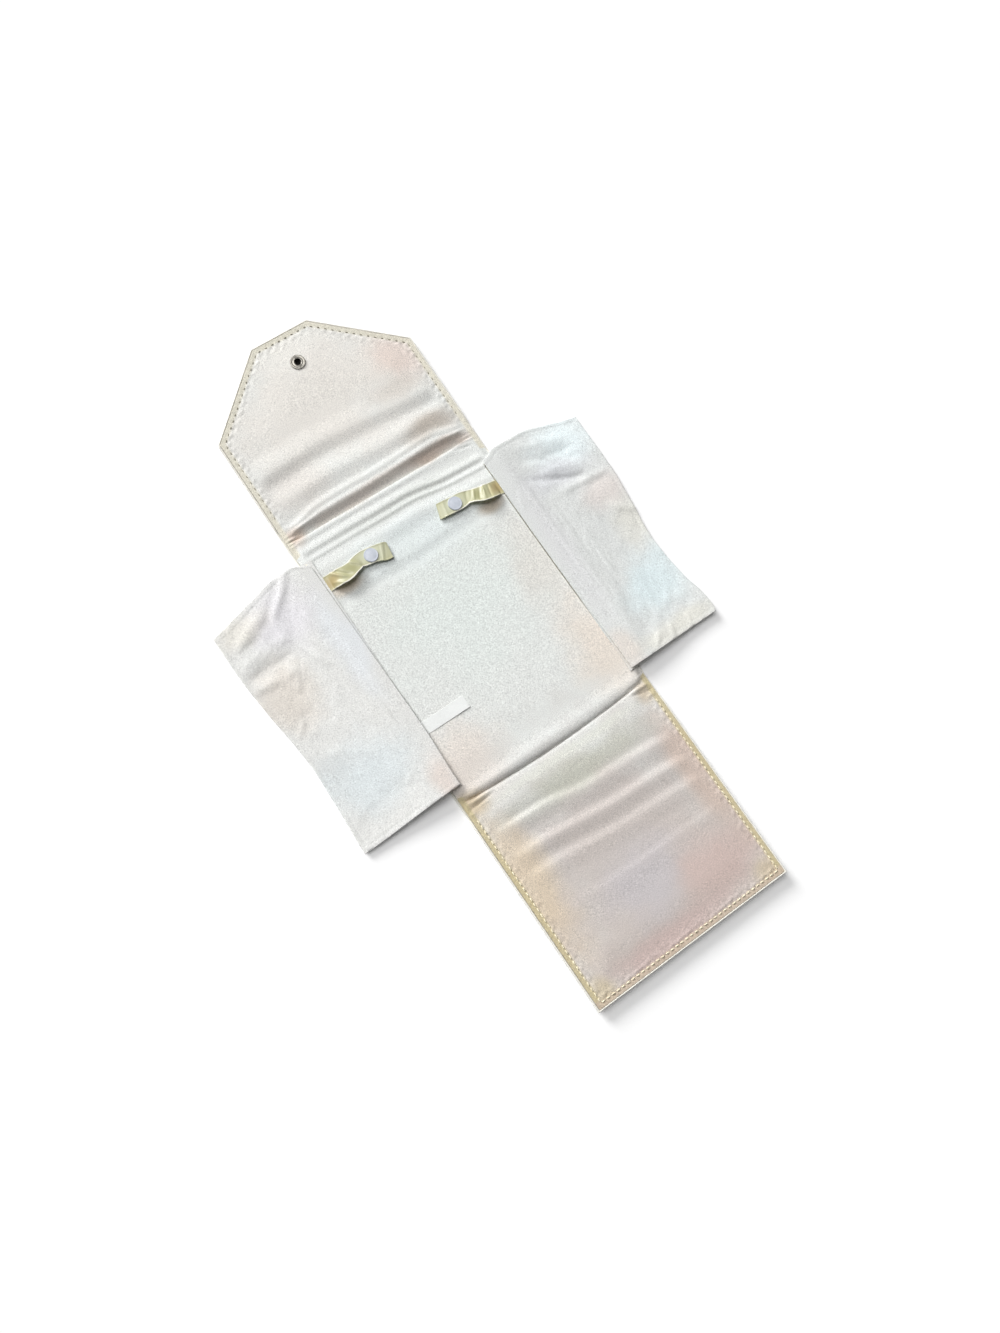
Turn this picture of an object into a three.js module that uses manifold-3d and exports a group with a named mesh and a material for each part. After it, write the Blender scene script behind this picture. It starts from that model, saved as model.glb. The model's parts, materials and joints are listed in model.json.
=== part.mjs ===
// Jewelry roll lying open: a centre panel, a lower panel and a closing flap joined by two soft
// spines, two cloth wings that fold in over the centre, and two ribbon straps with snaps.
// Millimetres, +Z up, +Y towards the flap, origin under the middle of the centre panel.
import * as THREE from "three";
import { mergeVertices } from "three/addons/utils/BufferGeometryUtils.js";
import Module from "manifold-3d";

const wasm = await Module();
wasm.setup();

// Panels and spines
const panelWidth = 140;
const centreLength = 166.5;
const lowerLength = 128;
const flapLength = 105.5;
const flapSideLength = 62.2;
const flapEndWidth = 40;
const lowerSpineLength = 20.5;
const upperSpineLength = 26.5;

// Layers, from the outer face inwards
const coverThickness = 0.9;
const boardThickness = 1.2;
const paddingThickness = 1.6;
const liningThickness = 0.4;
const glueGap = 0.1;
const rimThickness = 1.2;

// Clearances
const fitGap = 0.3;
const creaseGap = 0.5;
const foldClearance = 1;
const snapClearance = 0.3;

// Edge stitching and the roll of the lining over the padding
const stitchInset = 4;
const stitchWidth = 0.6;
const stitchHeight = 0.35;
const stitchStart = 5;
const paddingInset = 9;
const centrePaddingInset = 4;
const rippleFade = 9;

// Wings
const seamInset = 8;
const wingOverhang = 0.5;
const wingCreaseGap = 1;
const wingWidth = 61;
const wingPly = 0.35;
const wingEndGap = 2.5;
const wingTopGap = 2;
const wingTaper = 11;
const wingWaist = 2.5;
const wingFoldHeight = 0.6;
const wingFoldPitch = 62;
const floorGap = 0.3;
const seamThickness = 0.3;
const threadHeight = 0.2;
const threadWidth = 0.5;

// Straps
const strapWidth = 9.8;
const strapThickness = 0.5;
const strapLength = 41.5;
const strapSnapReach = 30;
const strapTail = 6;
const strapInset = 1.5;
const strapLoopHeight = 5.2;
const strapLoopPeak = 9.5;
const strapEndDrop = 1;
const strapSnapRunout = 1.5;
const leftStrapDrop = 20.25;
const leftStrapTurn = THREE.MathUtils.degToRad(1.5);
const rightStrapDrop = 23.75;
const rightStrapTurn = THREE.MathUtils.degToRad(-9);

// Label sewn into the left seam
const labelLength = 30;
const labelWidth = 8;
const labelThickness = 0.25;
const labelTail = 4;
const labelRise = 42.05;

// Snaps
const closureReach = 83.2;
const closureCapRadius = 5;
const closureCapHeight = 1;
const closureFlangeRadius = 4.8;
const closureFlangeHeight = 0.65;
const closureHoleRadius = 2.2;
const closureStudHeight = 2.6;
const strapCapRadius = 4.5;
const strapCapHeight = 0.95;
const strapSocketRadius = 3.8;
const strapSocketHeight = 1.5;
const strapHoleRadius = 2;
const strapStudHeight = 1.6;
const snapWall = 1;
const snapFloor = 0.45;
const snapFlangeHeight = 0.45;
const snapPostRadius = 1.3;
const snapBackThickness = 0.6;
const studTip = 0.7;
const capCrown = 0.55;
const turnSegments = 18;

// Heights that follow from the layers, measured from a panel's outer face
const boardBottom = coverThickness + glueGap;
const boardTop = boardBottom + boardThickness;
const paddingBottom = boardTop + glueGap;
const paddingTop = paddingBottom + paddingThickness;
const liningBottom = paddingTop + glueGap;
const liningTop = liningBottom + liningThickness;
const borderBottom = boardTop + glueGap;
const borderTop = borderBottom + liningThickness;
const tailBottom = liningTop + glueGap;
const seamBottom = tailBottom + strapThickness + glueGap;
const seamTop = seamBottom + seamThickness;
const threadBottom = seamTop + glueGap / 2;
const rootBottom = threadBottom + threadHeight + glueGap;
const wingThickness = 2 * wingPly + glueGap;
const wingAxisZ = rootBottom + wingThickness / 2;
const creaseAxisZ = coverThickness;

// Places that follow from the panel sizes
const halfWidth = panelWidth / 2;
const lowerCreaseY = -centreLength / 2;
const lowerPanelCreaseY = lowerCreaseY - lowerSpineLength;
const upperCreaseY = centreLength / 2;
const flapCreaseY = upperCreaseY + upperSpineLength;
const closureStudReach = centreLength - closureReach;
const closureHeadRadius = closureHoleRadius - snapClearance;
const lowerTilt = Math.asin(closureStudHeight / (closureStudReach - closureHeadRadius * studTip));
const flapTilt = Math.asin(closureCapHeight / (closureReach - closureCapRadius * capCrown));
const seamX = halfWidth - seamInset;
const wingCreaseX = halfWidth + wingOverhang;
const wingBottomY = lowerCreaseY + wingEndGap;
const wingTopY = upperCreaseY - wingTopGap;
const wingEdgeZ = floorGap + wingFoldHeight + wingThickness / 2;
const wingDroop = Math.asin((wingAxisZ - wingEdgeZ) / wingWidth);
const strapAxisX = seamX - strapInset;
const strapAxisZ = tailBottom + strapThickness / 2;
const leftStrapY = upperCreaseY - leftStrapDrop;
const rightStrapY = upperCreaseY - rightStrapDrop;
const labelY = lowerCreaseY + labelRise;

// Ripples of the satin: distance from the crease, height, half width, skew across the width
const centreRipples = [
  [5, 0.8, 3.4, 0],
  [centreLength - 9, 0.7, 1.9, -0.02],
  [centreLength - 4.7, 0.8, 1.5, 0],
];
const lowerRipples = [
  [8, 0.7, 3.5, 0],
  [16.5, 1.3, 3.2, -0.03],
  [32, 1.2, 3.4, -0.02],
  [47.5, 0.9, 3.6, -0.06],
];
const flapRipples = [
  [4, 1.4, 2.6, 0],
  [38, 1.1, 4.2, -0.03],
];
const lowerSpineRipples = [
  [7, 1.4, 1.8, 0],
  [13.2, 0.9, 1.6, 0],
];
const upperSpineRipples = [
  [8.2, 1.5, 1.7, 0],
  [18, 1.5, 2, 0],
];

const leatherette = new THREE.MeshStandardMaterial({ color: 0xeeebe1, roughness: 0.55 });
const greyboard = new THREE.MeshStandardMaterial({ color: 0xa89f92, roughness: 0.9 });
const wadding = new THREE.MeshStandardMaterial({ color: 0xf2f1ee, roughness: 0.95 });
const satin = new THREE.MeshStandardMaterial({ color: 0xe2ddd4, roughness: 0.35 });
const wingSatin = new THREE.MeshStandardMaterial({ color: 0xdfe2e0, roughness: 0.35 });
const ribbonSatin = new THREE.MeshStandardMaterial({ color: 0xc6c096, roughness: 0.35 });
const labelCloth = new THREE.MeshStandardMaterial({ color: 0xe6e8e8, roughness: 0.8 });
const goldThread = new THREE.MeshStandardMaterial({ color: 0xd2bd86, roughness: 0.6 });
const snapMetal = new THREE.MeshStandardMaterial({ color: 0x8d8a83, roughness: 0.3, metalness: 0.9 });
const capLacquer = new THREE.MeshStandardMaterial({ color: 0xc9cbd6, roughness: 0.35 });

const group = new THREE.Group();
group.name = "jewelry_roll";

function clamp01(value) {
  return Math.min(1, Math.max(0, value));
}

function ease(value) {
  const t = clamp01(value);
  return t * t * (3 - 2 * t);
}

function welded(geometry) {
  const bare = new THREE.BufferGeometry();
  bare.setAttribute("position", geometry.getAttribute("position"));
  if (geometry.index) bare.setIndex(geometry.index);
  return mergeVertices(bare, 1e-4);
}

function indexedSolid(vertices, faces) {
  const positions = new Float32Array(vertices.flat());
  let volume = 0;
  for (const [a, b, c] of faces) {
    const p = new THREE.Vector3(...vertices[a]);
    const q = new THREE.Vector3(...vertices[b]);
    const r = new THREE.Vector3(...vertices[c]);
    volume += p.dot(q.cross(r));
  }
  const outward = volume < 0 ? faces.map(([a, b, c]) => [a, c, b]) : faces;
  const geometry = new THREE.BufferGeometry();
  geometry.setAttribute("position", new THREE.BufferAttribute(positions, 3));
  geometry.setIndex(outward.flat());
  return geometry;
}

function toManifold(geometry) {
  const source = welded(geometry);
  const mesh = new wasm.Mesh({
    numProp: 3,
    vertProperties: new Float32Array(source.getAttribute("position").array),
    triVerts: new Uint32Array(source.index.array),
  });
  return new wasm.Manifold(mesh);
}

function cut(geometry, tools) {
  let solid = toManifold(geometry);
  for (const tool of tools) {
    solid = solid.subtract(toManifold(tool));
  }
  const mesh = solid.getMesh();
  const result = new THREE.BufferGeometry();
  result.setAttribute("position", new THREE.BufferAttribute(mesh.vertProperties, 3));
  result.setIndex(new THREE.BufferAttribute(mesh.triVerts, 1));
  return result;
}

function addPiece(parent, name, geometry, material) {
  const bare = welded(geometry);
  bare.computeVertexNormals();
  const mesh = new THREE.Mesh(bare, material);
  mesh.name = name;
  parent.add(mesh);
}

function slab(points, bottom, top) {
  const shape = new THREE.Shape(points);
  const geometry = new THREE.ExtrudeGeometry(shape, { depth: top - bottom, bevelEnabled: false });
  return geometry.translate(0, 0, bottom);
}

function rectangle(x0, x1, y0, y1) {
  return [[x0, y0], [x1, y0], [x1, y1], [x0, y1]].map(([x, y]) => new THREE.Vector2(x, y));
}

function post(radius, x, y, bottom, top) {
  const geometry = new THREE.CylinderGeometry(radius, radius, top - bottom, turnSegments);
  geometry.rotateX(Math.PI / 2);
  return geometry.translate(x, y, (top + bottom) / 2);
}

// A turned solid from [radius, height] pairs that start and end on the axis.
function turned(profile, x = 0, y = 0) {
  const rings = profile.slice(1, -1);
  const vertices = [[x, y, profile[0][1]]];
  for (const [radius, height] of rings) {
    for (let k = 0; k < turnSegments; k += 1) {
      const angle = (2 * Math.PI * k) / turnSegments;
      vertices.push([x + radius * Math.cos(angle), y + radius * Math.sin(angle), height]);
    }
  }
  vertices.push([x, y, profile[profile.length - 1][1]]);
  const last = vertices.length - 1;
  const lastRing = 1 + (rings.length - 1) * turnSegments;
  const faces = [];
  for (let k = 0; k < turnSegments; k += 1) {
    const next = (k + 1) % turnSegments;
    faces.push([0, 1 + next, 1 + k]);
    for (let i = 0; i + 1 < rings.length; i += 1) {
      const low = 1 + i * turnSegments;
      const high = low + turnSegments;
      faces.push([low + k, low + next, high + next], [low + k, high + next, high + k]);
    }
    faces.push([lastRing + k, lastRing + next, last]);
  }
  return indexedSolid(vertices, faces);
}

// A closed sheet from a grid of top points; the underside lies straight below by the thickness.
function sheet(grid, thickness) {
  const rows = grid.length;
  const columns = grid[0].length;
  const top = grid.flat();
  const vertices = top.concat(top.map(([x, y, z]) => [x, y, z - thickness]));
  const under = top.length;
  const faces = [];
  for (let i = 0; i + 1 < rows; i += 1) {
    for (let j = 0; j + 1 < columns; j += 1) {
      const a = i * columns + j;
      const b = a + 1;
      const c = b + columns;
      const d = a + columns;
      faces.push([a, b, c], [a, c, d], [under + a, under + c, under + b], [under + a, under + d, under + c]);
    }
  }
  const rim = [];
  for (let j = 0; j + 1 < columns; j += 1) rim.push(j);
  for (let i = 0; i + 1 < rows; i += 1) rim.push(i * columns + columns - 1);
  for (let j = columns - 1; j > 0; j -= 1) rim.push((rows - 1) * columns + j);
  for (let i = rows - 1; i > 0; i -= 1) rim.push(i * columns);
  rim.forEach((a, k) => {
    const b = rim[(k + 1) % rim.length];
    faces.push([a, under + a, under + b], [a, under + b, b]);
  });
  return indexedSolid(vertices, faces);
}

// Moves each edge of a counter-clockwise outline inwards by its own distance.
function insetOutline(points, insets) {
  const count = points.length;
  const lines = points.map((start, i) => {
    const along = points[(i + 1) % count].clone().sub(start).normalize();
    const inward = new THREE.Vector2(-along.y, along.x);
    return { start: start.clone().addScaledVector(inward, insets[i]), along };
  });
  return lines.map((line, i) => {
    const before = lines[(i + count - 1) % count];
    const offset = line.start.clone().sub(before.start);
    const reach = offset.cross(line.along) / before.along.cross(line.along);
    return before.start.clone().addScaledVector(before.along, reach);
  });
}

// A panel lies from its crease at y = 0 to y = length; creased edges carry no rim.
function makePanel(outline, creased) {
  const inset = (finished, crease) => insetOutline(outline, creased.map((c) => (c ? crease : finished)));
  const edges = outline.map((start, i) => {
    const along = outline[(i + 1) % outline.length].clone().sub(start).normalize();
    return { start, inward: new THREE.Vector2(-along.y, along.x), creased: creased[i] };
  });
  const edgeDistance = (x, y) => {
    const point = new THREE.Vector2(x, y);
    const distances = edges
      .filter((edge) => !edge.creased)
      .map((edge) => point.clone().sub(edge.start).dot(edge.inward));
    return Math.min(...distances);
  };
  return { inset, edgeDistance };
}

function coverTray(panel) {
  const outer = slab(panel.inset(0, creaseGap / 2), 0, borderTop);
  const hollow = slab(panel.inset(rimThickness, -foldClearance), coverThickness, borderTop + foldClearance);
  return cut(outer, [hollow]);
}

function boardSlab(panel) {
  return slab(panel.inset(rimThickness + fitGap, foldClearance), boardBottom, boardTop);
}

function paddingSlab(panel, inset) {
  return slab(panel.inset(inset, foldClearance), paddingBottom, paddingTop);
}

function sortedLines(values, low, high, apart) {
  const inside = values.filter((v) => v > low + apart && v < high - apart).sort((a, b) => a - b);
  const kept = [low];
  for (const value of inside) {
    if (value - kept[kept.length - 1] > apart) kept.push(value);
  }
  kept.push(high);
  return kept;
}

function rippleLines(ripples) {
  const steps = [-3, -2, -1, -0.5, 0, 0.5, 1, 2, 3];
  return ripples.flatMap(([centre, , half]) => steps.map((step) => centre + step * half));
}

function rippleAt(ripples, x, y) {
  let height = 0;
  for (const [centre, peak, half, skew] of ripples) {
    const t = (y - centre - skew * x) / half;
    height += peak * Math.max(0, 1 - (t * t) / 4) ** 2;
  }
  return height;
}

// Distance inside the edge where each part of the lining's slope begins and ends.
function slopeMarks(start, end) {
  return [start, (start + end) / 2, end, end + rippleFade];
}

// Where a row of the lining meets each mark, going inwards from its end.
function markColumns(panel, y, reach, marks) {
  return marks.map((mark, k) => {
    let inner = reach * (0.6 - 0.15 * k);
    let outer = reach;
    if (panel.edgeDistance(inner, y) < mark) return inner;
    for (let step = 0; step < 30; step += 1) {
      const middle = (inner + outer) / 2;
      if (panel.edgeDistance(middle, y) > mark) inner = middle;
      else outer = middle;
    }
    return inner;
  });
}

// Lining of a panel: low along its finished edges, rising over the padding, rippled inside.
function liningSheet(panel, rows, halfWidthAt, ripples, slopeStart, slopeEnd) {
  const marks = slopeMarks(slopeStart, slopeEnd);
  const grid = rows.map((y) => {
    const reach = halfWidthAt(y);
    const right = [reach, ...markColumns(panel, y, reach, marks)];
    const columns = [...right.map((x) => -x), 0, ...right.reverse()];
    return columns.map((x) => {
      const distance = panel.edgeDistance(x, y);
      const rise = ease((distance - slopeStart) / (slopeEnd - slopeStart));
      const play = ease((distance - slopeEnd) / rippleFade);
      const height = borderTop + rise * (liningTop - borderTop) + play * rippleAt(ripples, x, y);
      return [x, y, height];
    });
  });
  return sheet(grid, liningThickness);
}

function spineLining(length, ripples, y0) {
  const start = foldClearance;
  const end = length - foldClearance;
  const low = coverThickness + glueGap + liningThickness;
  const reach = halfWidth - rimThickness;
  const columns = [-reach, -reach + rippleFade, -reach / 3, reach / 3, reach - rippleFade, reach];
  const rows = sortedLines(rippleLines(ripples), start, end, 0.6);
  const grid = rows.map((s) =>
    columns.map((x) => {
      const play = ease((reach - Math.abs(x)) / rippleFade);
      return [x, y0 + s, low + play * rippleAt(ripples, x, s)];
    }),
  );
  return sheet(grid, liningThickness);
}

// The row of edge stitches, as one thread laid along the finished edges.
function edgeThread(panel, creaseIndex) {
  const outer = panel.inset(stitchInset - stitchWidth / 2, stitchStart);
  const inner = panel.inset(stitchInset + stitchWidth / 2, stitchStart);
  const turn = (points) => points.slice(creaseIndex + 1).concat(points.slice(0, creaseIndex + 1));
  const path = turn(outer).concat(turn(inner).reverse());
  const bottom = borderTop + glueGap / 2;
  return slab(path, bottom, bottom + stitchHeight);
}

// Fixed groups: each panel's own frame starts at its crease line.
function panelGroup(creaseY, tilt, turn) {
  const hinge = new THREE.Group();
  hinge.position.set(0, creaseY, creaseAxisZ);
  hinge.rotation.set(tilt, 0, turn);
  const frame = new THREE.Group();
  frame.position.set(0, 0, -creaseAxisZ);
  hinge.add(frame);
  group.add(hinge);
  return frame;
}

function snapSocketProfile(bottom, flange, top, bodyRadius, flangeRadius, holeRadius) {
  return [
    [0, bottom],
    [bodyRadius, bottom],
    [bodyRadius, flange],
    [flangeRadius, flange],
    [flangeRadius, top - snapFlangeHeight / 2],
    [flangeRadius - snapFlangeHeight, top],
    [holeRadius, top],
    [holeRadius, bottom + snapFloor],
    [0, bottom + snapFloor],
  ];
}

// Stud standing up from z = base, with its post reaching down to the back piece.
function studProfile(base, postEnd, flangeRadius, headRadius, height) {
  const neck = headRadius * 0.85;
  const shoulder = base + snapFlangeHeight;
  return [
    [0, postEnd],
    [snapPostRadius, postEnd],
    [snapPostRadius, base],
    [flangeRadius, base],
    [flangeRadius, shoulder - snapFlangeHeight / 3],
    [neck + snapFlangeHeight, shoulder],
    [neck, shoulder + snapFlangeHeight / 3],
    [headRadius, base + height * 0.72],
    [headRadius * studTip, base + height],
    [0, base + height],
  ];
}

function capProfile(base, postEnd, radius, height) {
  return [
    [0, postEnd],
    [snapPostRadius, postEnd],
    [snapPostRadius, base],
    [radius - height / 3, base],
    [radius, base + height / 3],
    [radius - height / 3, base + height * 0.8],
    [radius * capCrown, base + height],
    [0, base + height],
  ];
}

function flipped(profile) {
  return profile.map(([radius, height]) => [radius, -height]);
}

// Centre panel
const centreOutline = rectangle(-halfWidth, halfWidth, 0, centreLength);
const centrePanel = makePanel(centreOutline, [true, false, true, false]);
const centre = panelGroup(lowerCreaseY, 0, 0);
const frame = new THREE.Group();
group.add(frame);

function strapFrame(x, y, turn) {
  const place = new THREE.Group();
  place.position.set(x, y, strapAxisZ);
  place.rotation.z = turn;
  group.add(place);
  place.updateMatrix();
  return place;
}

const leftStrap = strapFrame(-strapAxisX, leftStrapY, leftStrapTurn);
const rightStrap = strapFrame(strapAxisX, rightStrapY, Math.PI + rightStrapTurn);
const strapSnaps = [leftStrap, rightStrap].map((place) => {
  const spot = new THREE.Vector3(strapSnapReach, 0, 0).applyMatrix4(place.matrix);
  return spot.setY(spot.y - lowerCreaseY);
});
const backRadius = strapSocketRadius - snapWall / 2;
const postHole = snapPostRadius + fitGap;
const studPostHoles = strapSnaps.map((at) => post(postHole, at.x, at.y, 0, liningTop + liningThickness));
const backPockets = strapSnaps.map((at) => post(backRadius + fitGap, at.x, at.y, 0, liningTop));

const centreReach = () => halfWidth - rimThickness - fitGap;
const centreRows = sortedLines(
  rippleLines(centreRipples), foldClearance, centreLength - foldClearance, 0.7,
);
const centreSatin = liningSheet(
  centrePanel, centreRows, centreReach, centreRipples, rimThickness + 2 * fitGap, centrePaddingInset - fitGap,
);
addPiece(centre, "centre_outer_cover", coverTray(centrePanel), leatherette);
addPiece(centre, "centre_board", boardSlab(centrePanel), greyboard);
addPiece(centre, "centre_padding", cut(paddingSlab(centrePanel, centrePaddingInset), backPockets), wadding);
addPiece(centre, "centre_lining", cut(centreSatin, studPostHoles), satin);

// Spines
function addSpine(name, startY, length, ripples) {
  const strip = rectangle(-halfWidth, halfWidth, startY + creaseGap / 2, startY + length - creaseGap / 2);
  addPiece(frame, `${name}_cover`, slab(strip, 0, coverThickness), leatherette);
  addPiece(frame, `${name}_lining`, spineLining(length, ripples, startY), satin);
}

const lowerSpineRows = lowerSpineRipples.map(([s, ...rest]) => [lowerSpineLength - s, ...rest]);
addSpine("lower_fold", lowerPanelCreaseY, lowerSpineLength, lowerSpineRows);
addSpine("upper_fold", upperCreaseY, upperSpineLength, upperSpineRipples);

// Lower panel, turned round so that it runs towards -Y, propped on its stud
const lowerOutline = rectangle(-halfWidth, halfWidth, 0, lowerLength);
const lowerPanel = makePanel(lowerOutline, [true, false, false, false]);
const lower = panelGroup(lowerPanelCreaseY, -lowerTilt, Math.PI);
const edgeInset = rimThickness + fitGap;
const slopeStart = stitchInset + stitchWidth;
const slopeEnd = paddingInset - fitGap;
const edgeMarks = slopeMarks(slopeStart, slopeEnd);
const lowerRows = sortedLines(
  [...rippleLines(lowerRipples), ...edgeMarks.map((mark) => lowerLength - mark)],
  foldClearance, lowerLength - edgeInset, 0.7,
);
const closureBackRadius = closureFlangeRadius - snapWall / 2;
const lowerPostHole = post(postHole, 0, closureStudReach, -coverThickness, coverThickness + glueGap);
const lowerBackPocket = post(closureBackRadius + fitGap, 0, closureStudReach, 0, boardTop + glueGap);
addPiece(lower, "lower_outer_cover", cut(coverTray(lowerPanel), [lowerPostHole]), leatherette);
addPiece(lower, "lower_board", cut(boardSlab(lowerPanel), [lowerBackPocket]), greyboard);
addPiece(lower, "lower_padding", paddingSlab(lowerPanel, paddingInset), wadding);
addPiece(
  lower, "lower_lining",
  liningSheet(lowerPanel, lowerRows, centreReach, lowerRipples, slopeStart, slopeEnd), satin,
);
addPiece(lower, "lower_edge_stitching", edgeThread(lowerPanel, 0), goldThread);
const closureStud = studProfile(
  glueGap / 2, -coverThickness, closureFlangeRadius - snapWall / 2, closureHeadRadius,
  closureStudHeight - glueGap / 2,
);
addPiece(lower, "closure_stud", turned(flipped(closureStud), 0, closureStudReach), snapMetal);
const closureBack = [
  [0, coverThickness + glueGap / 2],
  [closureBackRadius, coverThickness + glueGap / 2],
  [closureBackRadius, coverThickness + snapBackThickness],
  [0, coverThickness + snapBackThickness],
];
addPiece(lower, "closure_stud_back", turned(closureBack, 0, closureStudReach), snapMetal);

// Flap, propped on its cap
const endHalf = flapEndWidth / 2;
const flapOutline = [
  [-halfWidth, 0], [halfWidth, 0], [halfWidth, flapSideLength],
  [endHalf, flapLength], [-endHalf, flapLength], [-halfWidth, flapSideLength],
].map(([x, y]) => new THREE.Vector2(x, y));
const flapPanel = makePanel(flapOutline, [true, false, false, false, false, false]);
const flap = panelGroup(flapCreaseY, flapTilt, 0);
const flapInner = flapPanel.inset(edgeInset, foldClearance);
const flapReach = (y) => {
  const [side, end] = [flapInner[2], flapInner[3]];
  const t = clamp01((y - side.y) / (end.y - side.y));
  return side.x + t * (end.x - side.x);
};
const flapCorners = edgeMarks.map((mark) => flapPanel.inset(mark, foldClearance)[2].y);
const flapRows = sortedLines(
  [...rippleLines(flapRipples), flapInner[2].y, ...flapCorners, ...edgeMarks.map((mark) => flapLength - mark)],
  foldClearance, flapInner[3].y, 0.7,
);
const flapSatin = liningSheet(flapPanel, flapRows, flapReach, flapRipples, slopeStart, slopeEnd);
const socketBodyRadius = closureHoleRadius + snapWall;
const flapPostHole = () => post(postHole, 0, closureReach, -coverThickness, boardTop + glueGap);
const socketHole = () => post(socketBodyRadius + fitGap, 0, closureReach, boardTop, liningTop + liningThickness);
addPiece(flap, "flap_outer_cover", cut(coverTray(flapPanel), [flapPostHole()]), leatherette);
addPiece(flap, "flap_board", cut(boardSlab(flapPanel), [flapPostHole()]), greyboard);
addPiece(flap, "flap_padding", cut(paddingSlab(flapPanel, paddingInset), [socketHole()]), wadding);
addPiece(flap, "flap_lining", cut(flapSatin, [socketHole()]), satin);
addPiece(flap, "flap_edge_stitching", edgeThread(flapPanel, 0), goldThread);
const closureCap = capProfile(
  glueGap / 2, -boardTop, closureCapRadius, closureCapHeight - glueGap / 2,
);
addPiece(flap, "closure_cap", turned(flipped(closureCap), 0, closureReach), capLacquer);
const socketFlange = liningTop + glueGap;
const closureSocket = snapSocketProfile(
  boardTop + glueGap, socketFlange, socketFlange + closureFlangeHeight,
  socketBodyRadius, closureFlangeRadius, closureHoleRadius,
);
addPiece(flap, "closure_socket", turned(closureSocket, 0, closureReach), snapMetal);

// Wings: a seam allowance sewn down along the side, a root strip and the hanging cloth
function addWing(name, side, flare) {
  const strip = (inner, outer, bottom, top) => {
    const [x0, x1] = side < 0 ? [-outer, -inner] : [inner, outer];
    return slab(rectangle(x0, x1, wingBottomY, wingTopY), bottom, top);
  };
  const rootEnd = wingCreaseX - wingCreaseGap / 2;
  const threadX = seamX + seamInset / 2;
  addPiece(frame, `${name}_seam_allowance`, strip(seamX + fitGap, halfWidth - fitGap, seamBottom, seamTop), wingSatin);
  addPiece(
    frame, `${name}_seam_stitching`,
    strip(threadX - threadWidth / 2, threadX + threadWidth / 2, threadBottom, threadBottom + threadHeight),
    goldThread,
  );
  addPiece(frame, `${name}_root`, strip(seamX + fitGap, rootEnd, rootBottom, rootBottom + wingThickness), wingSatin);

  const cloth = new THREE.Group();
  cloth.position.set(side * wingCreaseX, 0, wingAxisZ);
  cloth.rotation.y = side * wingDroop;
  group.add(cloth);
  const columns = [0, 0.08, 0.25, 0.45, 0.65, 0.85, 1];
  const rows = Array.from({ length: 17 }, (_, i) => i / 16);
  const plyGrid = (top) =>
    rows.map((v) =>
      columns.map((u) => {
        const reach = wingWidth - wingWaist * 4 * v * (1 - v) + flare * v;
        const x = wingCreaseGap / 2 + u * (reach - wingCreaseGap / 2);
        const y = wingBottomY + v * (wingTopY - wingTaper * u - wingBottomY);
        const swing = Math.sin((2 * Math.PI * (y + 0.35 * x)) / wingFoldPitch);
        return [side * x, y, top + wingFoldHeight * ease(u) * swing];
      }),
    );
  addPiece(cloth, `${name}_face`, sheet(plyGrid(wingThickness / 2), wingPly), wingSatin);
  addPiece(cloth, `${name}_back`, sheet(plyGrid(wingPly - wingThickness / 2), wingPly), wingSatin);
}

addWing("left_wing", -1, 4);
addWing("right_wing", 1, -1);

const labelPlace = rectangle(
  -seamX - labelTail, labelLength - seamX, labelY - labelWidth / 2, labelY + labelWidth / 2,
);
addPiece(frame, "care_label", slab(labelPlace, tailBottom, tailBottom + labelThickness), labelCloth);

// Straps: the ribbon leaves its sewn tail, stands up in a loop and comes down on the snap
const snapLevel = strapSocketHeight + strapThickness / 2 + glueGap * 2 + snapFlangeHeight;
const axisLevel = strapAxisZ - liningTop;
const flatStart = strapSnapReach - strapCapRadius - strapSnapRunout;
const flatEnd = strapSnapReach + strapCapRadius + strapSnapRunout / 2;

// Height of the ribbon's middle over its hinge at a distance along the strap.
function ribbonLevel(x) {
  const loop = strapLoopHeight - axisLevel;
  const flat = snapLevel - axisLevel;
  if (x < strapLoopPeak) return loop * Math.sin((Math.PI / 2) * clamp01((x - fitGap) / (strapLoopPeak - fitGap)));
  const fall = ease((x - strapLoopPeak) / (flatStart - strapLoopPeak));
  const droop = ease((x - flatEnd) / (strapLength - flatEnd));
  return loop + (flat - loop) * fall - strapEndDrop * droop;
}

function ribbonGeometry() {
  const stations = [fitGap, strapLoopPeak, flatStart, flatEnd, strapLength];
  const counts = [8, 8, 1, 4];
  const along = [fitGap];
  counts.forEach((count, i) => {
    for (let k = 1; k <= count; k += 1) {
      along.push(stations[i] + ((stations[i + 1] - stations[i]) * k) / count);
    }
  });
  const upper = [];
  const lower = [];
  for (const x of along) {
    const slope = (ribbonLevel(x + 0.01) - ribbonLevel(x - 0.01)) / 0.02;
    const across = new THREE.Vector2(-slope, 1).setLength(strapThickness / 2);
    const at = new THREE.Vector2(x, ribbonLevel(x));
    upper.push(at.clone().add(across));
    lower.push(at.clone().sub(across));
  }
  const shape = new THREE.Shape(lower.concat(upper.reverse()));
  const ribbon = new THREE.ExtrudeGeometry(shape, { depth: strapWidth, bevelEnabled: false });
  ribbon.rotateX(Math.PI / 2);
  return ribbon.translate(0, strapWidth / 2, 0);
}

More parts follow.
